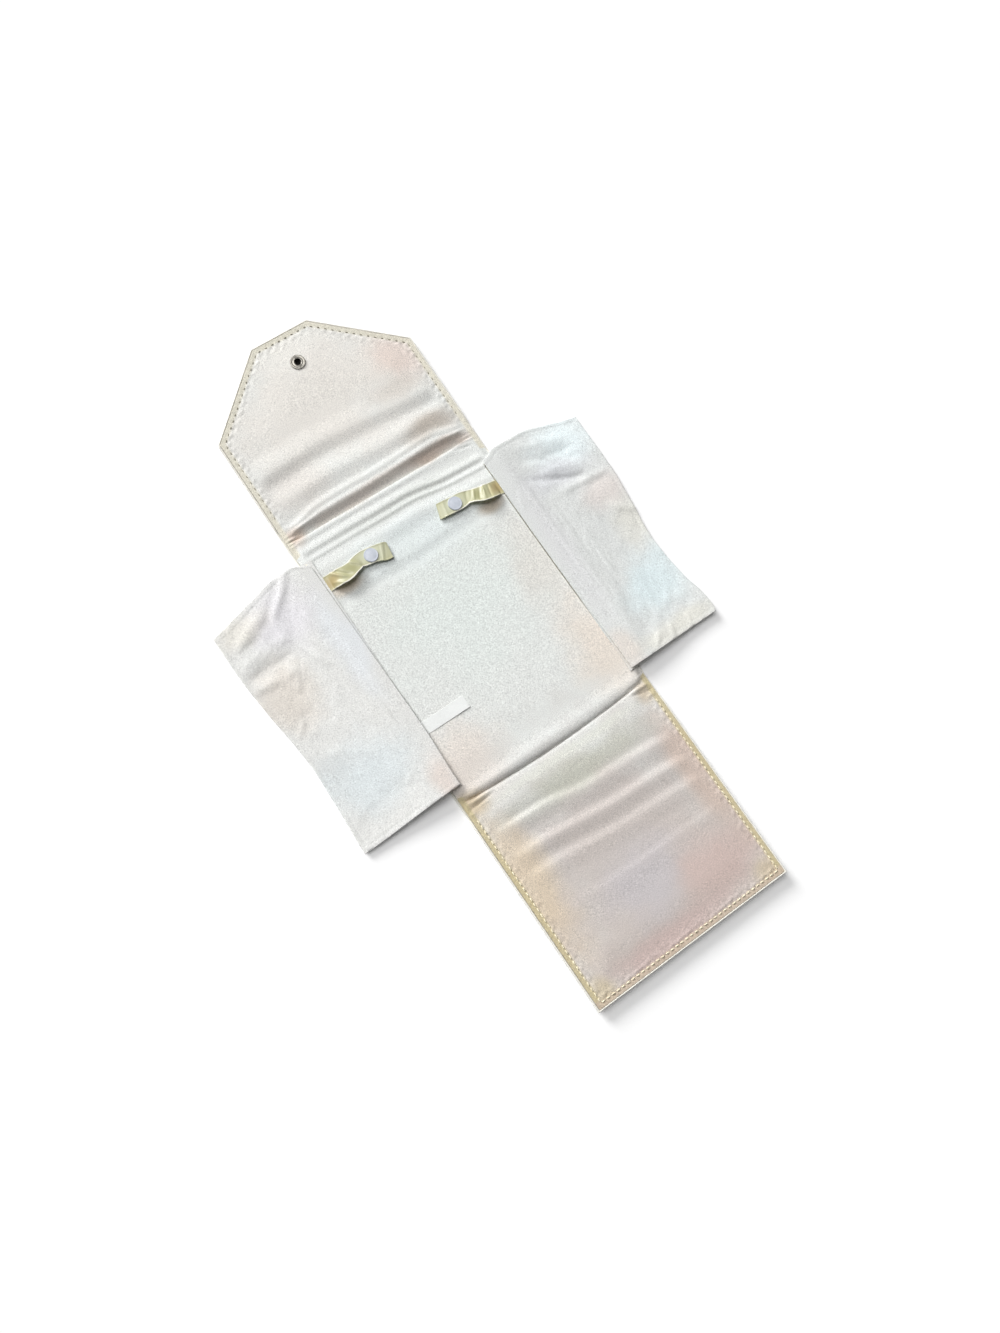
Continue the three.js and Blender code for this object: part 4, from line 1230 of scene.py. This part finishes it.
# Each wing as it is cut, with distances across counted outwards from the middle of the case. Seam and outer
# edge are (along, across), low and high edge are (across, along), folds and lift are strokes as above
WINGS = {
    "left": {
        "sign": -1,
        "satin": LEFT_WING_SATIN,
        "seam": [(-80, 63.4), (-40, 62.2), (-9, 62.8), (41, 63.8), (81, 64.4)],
        "outer": [
            (-82, 130), (-53, 128.8), (-28, 128.1), (-9, 129.4), (16, 132.5), (47, 135), (72, 135.2),
        ],
        "low": [(62, -80), (130, -82.5)],
        "high": [
            (62, 77.4), (64.4, 78.6), (68, 79.8), (70.5, 81.6), (73, 82.8), (79, 83), (107, 77.4),
            (136, 70.6),
        ],
        "folds": [
            ((79, 84), (88, 72), 2.4, 0.45), ((86, 75), (101, 61), 2.6, 0.45),
            ((101, 64), (97, 44), 2, 0.45), ((98, 49), (89, 18), 1.8, 0.4),
            ((135, 46), (97, 50), 4.5, 0.5), ((137, 31), (98, 29), 3.2, 0.5),
            ((135, 38), (99, 39.5), 2.2, -0.3), ((115, 29), (110, 16), 1.1, 0.3),
            ((111, 17), (106, 27), 1.1, 0.28), ((126, -6), (116, 3), 1.3, 0.3),
            ((73, 30), (73, -50), 1.1, -0.25), ((65, -84), (66, -58), 5, 0.9),
            ((128, 58), (102, 70), 3.5, 0.5), ((120, -18), (94, -36), 5, 0.4),
            ((82, -48), (122, -64), 6, 0.35), ((94, 36), (78, 8), 1.6, 0.3),
            ((86, 58), (76, 34), 1.8, 0.3),
        ],
        "lift": [((74, -96), (112, -96), 50, 3)],
    },
    "right": {
        "sign": 1,
        "satin": RIGHT_WING_SATIN,
        "seam": [(-80, 63.7), (-21, 62.4), (31, 61.7), (77, 61.6)],
        "outer": [
            (-80, 129.6), (-76.5, 131.3), (-65, 130.6), (-50, 127.5), (-21, 125), (13, 128.8),
            (36, 130.6), (74, 130.6),
        ],
        "low": [(62, -79.6), (132, -79.2)],
        "high": [
            (60, 75.6), (62, 77.6), (64, 78.5), (67.5, 79.3), (70.5, 81.2), (73, 82.2), (94, 82.2),
            (111, 78.4), (131, 73.5),
        ],
        "folds": [
            ((80, 67), (96, 60), 2.4, -0.22), ((92, 61), (120, 58.5), 2.4, -0.22),
            ((80, 73), (120, 66), 4, 0.35), ((72, 57), (92, 46), 2.2, -0.45),
            ((88, 48), (116, 37), 2.2, -0.45), ((88, 54), (120, 46), 4, 0.45),
            ((86, 37), (131, 33.5), 2.8, 0.5), ((68, 53), (62.5, 40), 1, -0.35),
            ((70, 51), (65, 38), 1, 0.35), ((85, -78), (92, -70), 1.2, 0.35),
            ((98, -79), (101, -69), 1.4, 0.35), ((112, -79), (114, -70), 1.4, 0.3),
            ((72.5, -40), (72.5, 55), 1.1, -0.25), ((114, 14), (130, 1), 3.5, 0.4),
            ((88, -28), (120, -42), 6, 0.35),
        ],
        "lift": [((80, -96), (160, -96), 50, 3.4)],
    },
}

# The wings' cloth simulation: settings, grid, steps, and the most that a point may move
CLOTH_SETTINGS = {
    "quality": 8,
    "mass": 0.05,
    "tension_stiffness": 30,
    "compression_stiffness": 30,
    "shear_stiffness": 8,
    "bending_stiffness": 0.06,
    "air_damping": 4,
    "vertex_group_mass": "held",
    "vertex_group_shrink": "fuller",
    "shrink_min": 0.0,
    "shrink_max": -0.045,
}
CLOTH_GRAVITY = 0.02
CLOTH_GAP = 0.002
CLOTH_FRICTION = 20
CLOTH_COLUMNS = 32
CLOTH_ROWS = 76
CLOTH_SCALE = 10.0
CLOTH_FLOOR = -0.25
CLOTH_FRAMES = 24
CLOTH_CAP = 2.2


def wing_rest_height(across, along, cut):
    """Middle of the wing's two plies: flat along the seam, over the panel's edge and down to the table."""
    fall = ease((across - WING_BEND + WING_FALL_BEFORE) / WING_FALL)
    free = ease((across - WING_BEND - 1) / 10)
    height = WING_ROOT_Z + (WING_LOW - WING_ROOT_Z) * fall
    height = height + WING_FOLD_HEIGHT * strokes(across, along, cut["folds"]) * (0.25 + 0.75 * free)
    height = height + strokes(across, along, cut["lift"])
    height = height + WING_WANDER * soft_noise(across / 11, along / 13, 4) * free
    return np.maximum(height, WING_PLY / 2 + WING_TABLE_GAP)


def wing_places(cut, u, v):
    """Places on a wing as it is cut, from shares of the way across and along it."""
    low, high = smooth_curve(cut["low"]), smooth_curve(cut["high"])
    roughly = WING_SEAM + WING_WIDTH * u
    along = low(roughly) + v * (high(roughly) - low(roughly))
    seam, outer = smooth_curve(cut["seam"])(along), smooth_curve(cut["outer"])(along)
    across = seam + u * (outer - seam)
    rim = np.minimum(outer - across, np.minimum(along - low(across), high(across) - along))
    return across, along, rim


def settle(points, held, fuller):
    """Cloth simulation of a grid of points over the table: where each point moves to, as an offset.

    Held points stay. The cloth is cut fuller by the given shares, so that it crumples as it settles. It
    runs at a larger scale, because collisions keep a distance that is too wide for a thin cloth.
    """
    _, quads = grid_quads(*points.shape[:2])
    cloth = new_object("settling_cloth", points.reshape(-1, 3) * CLOTH_SCALE, quads.tolist(), WADDING)
    for group_name, weights in (("held", held), ("fuller", fuller)):
        made = cloth.vertex_groups.new(name=group_name)
        for i, weight in enumerate(np.clip(weights, 0, 1).ravel()):
            made.add([i], float(weight), "REPLACE")
    floor = level_square("settling_floor", TABLE_HALF, CLOTH_FLOOR * CLOTH_SCALE, WADDING)
    floor.modifiers.new("collision", "COLLISION")
    floor.collision.thickness_outer = CLOTH_GAP
    floor.collision.cloth_friction = CLOTH_FRICTION
    modifier = cloth.modifiers.new("cloth", "CLOTH")
    for key, value in CLOTH_SETTINGS.items():
        setattr(modifier.settings, key, value)
    modifier.settings.effector_weights.gravity = CLOTH_GRAVITY
    modifier.collision_settings.distance_min = CLOTH_GAP
    modifier.point_cache.frame_end = CLOTH_FRAMES
    scene = bpy.context.scene
    for step in range(1, CLOTH_FRAMES + 1):
        scene.frame_set(step)
    evaluated = cloth.evaluated_get(bpy.context.evaluated_depsgraph_get())
    settled = np.zeros(points.size, np.float32)
    evaluated.data.vertices.foreach_get("co", settled)
    scene.frame_set(1)
    for done in (cloth, floor):
        bpy.data.objects.remove(done)
    offset = settled.reshape(points.shape) / (MM * CLOTH_SCALE) - points
    size = np.linalg.norm(offset, axis=-1, keepdims=True)
    return offset * np.minimum(1, CLOTH_CAP / np.maximum(size, 1e-6))


def resample(values, u_from, v_from, u_to, v_to):
    """Values on one grid of shares, read on another."""
    across = np.stack([np.interp(u_to, u_from, row) for row in values])
    return np.stack([np.interp(v_to, v_from, column) for column in across.T], axis=1)


def crumple(cut, u, v):
    """How far each point of a wing moves as its cloth settles, worked out on a coarser grid."""
    coarse_u, coarse_v = np.linspace(0, 1, CLOTH_COLUMNS), np.linspace(0, 1, CLOTH_ROWS)
    across, along, rim = wing_places(cut, coarse_u[None, :], coarse_v[:, None])
    rest = np.stack([across, along, wing_rest_height(across, along, cut)], axis=-1)
    held = ease((WING_BEND + 4 - across) / 3)
    fuller = ease(rim / 16) * (0.35 + 0.65 * ease(along / 40))
    moved = settle(rest, held, fuller)
    return [resample(moved[:, :, axis], coarse_u, coarse_v, u, v) for axis in range(3)]


def wing_piece(side, sewn_on):
    """One wing: two plies of satin sewn together and turned, crumpled a little, its outer edges pressed."""
    cut = WINGS[side]
    sign = cut["sign"]
    u = graded(0, 1, fine=0.008, coarse=0.02, margin=0.05)
    v = graded(0, 1, fine=0.004, coarse=0.0105, margin=0.025)
    across, along, rim = wing_places(cut, u[None, :], v[:, None])
    shift_x, shift_y, shift_z = crumple(cut, u, v)
    loose = ease(rim / WING_LOOSE)
    x = sign * (across + loose * shift_x)
    y = along + loose * shift_y
    half = WING_PLY / 2
    middle = wing_rest_height(across, along, cut) + (0.3 + 0.7 * loose) * shift_z
    middle = np.maximum(middle, half + 0.05)
    pressed = 0.08 * ridge(rim, *PRESSED_ROLL) - 0.1 * ridge(rim, *PRESSED_GROOVE)
    flat = np.stack([sign * across, along, middle], axis=-1)
    top = np.stack([x, y, middle + half + pressed], axis=-1)
    bottom = np.stack([x, y, middle - half], axis=-1)
    if sign < 0:
        top, bottom, flat = top[:, ::-1], bottom[:, ::-1], flat[:, ::-1]
    piece = closed_sheet(f"{side}_wing_cloth", top, bottom, flat, cut["satin"], bulge=0.3)
    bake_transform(piece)
    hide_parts(f"{side}_wing_root", f"{side}_wing_face", f"{side}_wing_back")


def seam_shade_line(side):
    """A dark line of thread along a wing's sewn edge on the lining, painted shade for the gap under the
    wing's edge.
    """
    cut = WINGS[side]
    y = np.arange(*SEAM_SHADE_ENDS, SEAM_SHADE_PITCH)
    x = cut["sign"] * (smooth_curve(cut["seam"])(y) - SEAM_SHADE_INSET)
    line = []
    for x0, y0, x1, y1 in zip(x, y, x[1:], y[1:]):
        length = math.hypot(x1 - x0, y1 - y0)
        line.append((((x0 + x1) / 2, (y0 + y1) / 2), ((x1 - x0) / length, (y1 - y0) / length)))
    return sewn_row(f"{side}_seam_shade_line", "centre", line, SEAM_SHADE_STITCH, DARK_THREAD, lining_height)


def seam_allowance(side):
    """The strip of a wing's cloth that is sewn down on the centre panel, a little frayed."""
    low, high = span(f"{side}_wing_seam_allowance")
    x = np.linspace(low[0], high[0], 9)[None, :]
    y = np.linspace(low[1], high[1], 90)[:, None]
    fray = FRAY_DEPTH * soft_noise(y / FRAY_PITCH, x * 0, 7)
    frayed = fray * ease((np.abs(x) - HALF_WIDTH + FRAY_REACH) / FRAY_REACH)
    x, y = x + frayed, y + np.zeros_like(x)
    level = low[2] + 0.03 * soft_noise(x / 3, y / 4, 2)
    top = np.stack([x, y, level + high[2] - low[2] - 0.04], axis=-1)
    bottom = np.stack([x, y, level], axis=-1)
    piece = closed_sheet(f"{side}_seam_allowance", top, bottom, top, WINGS[side]["satin"], bulge=0.05)
    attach(piece, "centre")
    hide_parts(f"{side}_wing_seam_allowance")
    return piece


def seam_stitches(side):
    """The row of stitches that sews a wing's seam allowance down."""
    cloth_top = span(f"{side}_wing_seam_allowance")[1][2]

    def on_cloth(x, y):
        return np.full(np.broadcast(x, y).shape, cloth_top - 0.05)

    low, high = span(f"{side}_wing_seam_stitching")
    x = (low[0] + high[0]) / 2
    places = stitch_places([(x, low[1] + 1), (x, high[1] - 1)], SEAM_PITCH)
    row = sewn_row(f"{side}_seam_stitches", "centre", places, SEAM_STITCH, GOLD_THREAD, on_cloth)
    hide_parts(f"{side}_wing_seam_stitching")
    return row


def seam_pieces(side):
    """What holds a wing down: the seam allowance, the stitches along it, and the dark line at its sewn edge,
    which is painted shade.
    """
    edge = seam_shade_line(side)
    allowance = seam_allowance(side)
    return [allowance, seam_stitches(side), edge]


# Straps

RIBBON_HALF = 5.0
RIBBON = 0.5
RIBBON_FROM = -6.0
RIBBON_TO = 41.5
RIBBON_END_HEM = 36.0
RIBBON_END_STITCH = 38.6
RIBBON_EDGE = 4.2
RIBBON_END_SLANT = 0.16
RIBBON_SLANT_FROM = 30.0
RIBBON_SLANT_RUN = 11.0
RIBBON_TWIST = {"left": -0.28, "right": 0.28}

# Along a ribbon from its seam: height above the seam, share of its width, and how far it swings aside
RIBBON_LEVELS = [
    (-6, 0), (0.3, 0), (2.5, 1.4), (5.5, 3.2), (9.5, 4.1), (14, 3.6), (19, 2.6), (24, 2.05), (35, 2.05),
    (41.5, 1.05),
]
RIBBON_WIDTHS = [(-6, 1), (1, 1), (9, 1.08), (20, 0.84), (26, 1), (41.5, 1)]
RIBBON_SWINGS = {
    "left": [
        (-6, 0), (0, 0), (6, -0.8), (11, -1.2), (17, -0.2), (22, 1.2), (30, 0.2), (36, -1.4), (41.5, -3.2),
    ],
    "right": [(-6, 0), (0, 0), (5, 0.9), (10, 1.1), (16, 0), (22, -1), (30, 0), (41.5, 0.6)],
}

# Folds of the ribbons as strokes: from and to as (distance from the seam, across), width, height
RIBBON_FOLDS = {
    "left": [
        ((1, -1), (9, -5), 0.7, 0.6), ((2, 5), (11, -3), 0.8, 1.1), ((4.5, 5.5), (14, -3), 0.9, -1),
        ((18, 5), (22, -5), 1.1, 0.7),
    ],
    "right": [
        ((6, -5), (8, 5), 0.8, -0.7), ((10, -5), (11.5, 5), 0.9, 0.9), ((13, -5), (14.5, 5), 0.8, -0.5),
        ((16.5, -5), (18, 5), 0.9, 0.7), ((21, -5), (22.5, 5), 1, -0.6),
    ],
}


def ribbon_level(side, u, v):
    """Middle of a ribbon above its seam: a loop that leans to one side, with its folds."""
    twist = RIBBON_TWIST[side] * v * plateau(u, 0, 7, 13, 24)
    folds = strokes(u, v, RIBBON_FOLDS[side]) * plateau(u, 0.3, 3, 20, 25)
    return smooth_curve(RIBBON_LEVELS)(u) + twist + folds


def ribbon_hems(u, v):
    """Extra height of a ribbon's folded-over end, with its stitch line, and of its woven edges."""
    end = 0.3 * ease((u - RIBBON_END_HEM) / 0.8) - 0.2 * ridge(u, RIBBON_END_STITCH, 0.45)
    aside = np.abs(v) - RIBBON_EDGE
    return end + 0.16 * ease(aside / 0.3) * (1 - 0.4 * ease((aside - 0.6) / 0.2))


def ribbon_piece(side):
    """A strap: its sewn tail, the loop that stands up from the seam, and the flat end with the snap."""
    axis = hinge_at(f"{side}_strap_lift")
    cap_low, cap_high = span(f"{side}_strap_snap_cap")
    aim = (cap_low + cap_high) / 2 - axis
    forward = aim[:2] / math.hypot(aim[0], aim[1])
    aside = (-forward[1], forward[0])
    u = np.linspace(RIBBON_FROM, RIBBON_TO, 96)[:, None]
    v = graded(-RIBBON_HALF, RIBBON_HALF, fine=0.22, coarse=0.7, margin=1.1)[None, :]
    level = ribbon_level(side, u, v)
    top = level + RIBBON / 2 + ribbon_hems(u, v)
    bottom = level - RIBBON / 2
    swing = smooth_curve(RIBBON_SWINGS[side])
    lean = (swing(u + 0.5) - swing(u - 0.5)) * plateau(u, -2, 2, 39, 45)
    run = u + RIBBON_END_SLANT * v * ease((u - RIBBON_SLANT_FROM) / RIBBON_SLANT_RUN) - v * lean
    across = v * smooth_curve(RIBBON_WIDTHS)(u) + swing(u)
    x = axis[0] + run * forward[0] + across * aside[0]
    y = axis[1] + run * forward[1] + across * aside[1]
    upper = np.stack([x, y, axis[2] + top], axis=-1)
    lower = np.stack([x, y, axis[2] + bottom], axis=-1)
    flat = np.stack(np.broadcast_arrays(u, v, 0.0), axis=-1)
    grids = [grid[:, ::-1] for grid in (upper, lower, flat)]
    piece = closed_sheet(f"{side}_strap_cloth", *grids, RIBBON_SATIN, bulge=0.12)
    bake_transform(piece)
    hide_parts(f"{side}_strap_tail", f"{side}_strap_ribbon")


# Snaps

# A pressed cap: rolled rim, a shallow groove and a faintly domed face, as shares of its radius and height
CAP_SHAPE = [
    (0, 0), (0.9, 0), (0.985, 0.2), (1, 0.5), (0.97, 0.78), (0.9, 0.93), (0.83, 0.9), (0.78, 0.88),
    (0.6, 0.96), (0.3, 1), (0, 1),
]
# Profile of the dark cup in the closing socket's hole, which is painted shade.
SHADE_WELL_SHAPE = [(0, 2.66), (2.07, 2.66), (2.07, 4.8), (2.01, 4.76), (2, 2.74), (0, 2.74)]
STUD_OFFSET = 0.1


def cap_profile(radius, base, top):
    """A snap's cap of this radius."""
    return [(radius * r, base + (top - base) * z) for r, z in CAP_SHAPE]


def socket_profile(radius, base, top, body, hole):
    """A snap's socket: barrel, flange with a rolled edge, a groove, and the lip around the hole."""
    flange = top - 0.65
    return [
        (0, base), (body * 0.96, base), (body, base + 0.15), (body, flange), (radius * 0.97, flange),
        (radius, flange + 0.25), (radius * 0.95, top - 0.1), (radius * 0.85, top),
        (radius * 0.76, top - 0.16), (radius * 0.7, top - 0.2), (hole * 1.3, top - 0.08),
        (hole * 1.16, top + 0.02), (hole * 1.03, top - 0.08), (hole * 0.97, top - 0.3),
        (hole * 0.95, base + 0.4), (0, base + 0.3),
    ]


def ring_profile(base, top):
    """A strap's socket: a ring that opens downwards, with a rounded lip."""
    return [
        (0, base + 0.9), (1.95, base + 0.9), (2, base + 0.2), (2.3, base), (3.6, base),
        (3.8, base + 0.25), (3.8, top - 0.3), (3.5, top), (0, top),
    ]


def stud_profile(radius, base, top, flange, head):
    """A snap's stud: flange with a raised edge, waist and round head."""
    high = top - base
    return [
        (0, base), (radius * 0.93, base), (radius, base + 0.4 * flange), (radius * 0.95, base + flange),
        (radius * 0.75, base + 0.85 * flange), (head * 1.02, base + 0.9 * flange),
        (head * 0.86, base + 1.2 * flange), (head * 0.9, base + 0.45 * high), (head, base + 0.7 * high),
        (head * 0.93, base + 0.88 * high), (head * 0.6, top - 0.03), (0, top),
    ]


def upside_down(profile):
    """The same profile, hanging under the case."""
    return [(r, -z) for r, z in profile]


def snap(node, body, profile, material, centre=None):
    """A turned piece of a snap in place of its CAD node, laid on a panel where a centre is given."""
    low, high = span(node)
    laid = centre is not None
    piece = turned(f"{node}_turned", profile, centre if laid else (low + high) / 2, material, laid)
    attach(piece, body)
    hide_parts(node)


def levels(node):
    """Heights of a CAD node's underside and top."""
    low, high = span(node)
    return {"base": low[2], "top": high[2]}


def strap_snaps(side):
    """A strap's snap: cap and socket on its end, and the stud on the panel that they close on."""
    cap, socket, stud = f"{side}_strap_snap_cap", f"{side}_strap_snap_socket", f"{side}_strap_stud"
    snap(cap, f"{side}_strap", cap_profile(radius=4.5, **levels(cap)), CAP_LACQUER)
    snap(socket, f"{side}_strap", ring_profile(**levels(socket)), SNAP_METAL)
    profile = stud_profile(radius=3.8, flange=0.5, head=1.7, **levels(stud))
    snap(stud, "centre", profile, SNAP_METAL)


def closure_snaps():
    """The closing snap: socket and cap on the flap, stud on the outside of the lower panel, and a dark cup in
    the socket's hole that is painted shade.
    """
    on_flap = (0, FLAP_CREASE + CLOSURE_REACH)
    on_lower = (0, LOWER_PANEL_CREASE - CLOSURE_REACH - STUD_OFFSET)
    socket = socket_profile(radius=4.8, base=2.35, top=5.15, body=3.2, hole=2.2)
    snap("closure_socket", "flap", socket, SNAP_METAL, on_flap)
    # A dark cup in the socket's hole: painted shade.
    well = turned("closure_socket_shade_well", SHADE_WELL_SHAPE, on_flap, SHADE_WELL_DARK)
    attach(well, "flap")
    cap = upside_down(cap_profile(radius=5, base=0, top=1))
    snap("closure_cap", "flap", cap, CAP_LACQUER, on_flap)
    stud = upside_down(stud_profile(radius=4.3, base=0, top=2.6, flange=0.5, head=1.9))
    snap("closure_stud", "lower_panel", stud, SNAP_METAL, on_lower)


def edge_stitches():
    """Rows of stitches along the hems of the lower panel and the flap."""
    for name, body, places, size, material in (
        ("lower_edge", "lower_panel", LOWER_STITCHES, LOWER_STITCH, GOLD_THREAD),
        ("flap_edge", "flap", FLAP_STITCHES, FLAP_STITCH, DARK_THREAD),
    ):
        row = sewn_row(f"{name}_stitches", body, places, size, material, lining_height)
        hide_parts(f"{name}_stitching")


def carried_over():
    """Finishes on the CAD nodes that stay: boards and the backs of the studs."""
    for part in PADS:
        bpy.data.objects[f"{part}_board"].data.materials[0] = GREYBOARD
    for stud in ("left_strap", "right_strap", "closure"):
        bpy.data.objects[f"{stud}_stud_back"].data.materials[0] = SNAP_METAL


make_camera()
make_stage()
carried_over()
for part in PADS:
    pad_piece(part)
label = label_piece()
for part in PARTS:
    cover_piece(part)
    lining_piece(part)
for side in WINGS:
    wing_piece(side, seam_pieces(side))
    ribbon_piece(side)
    strap_snaps(side)
closure_snaps()
edge_stitches()
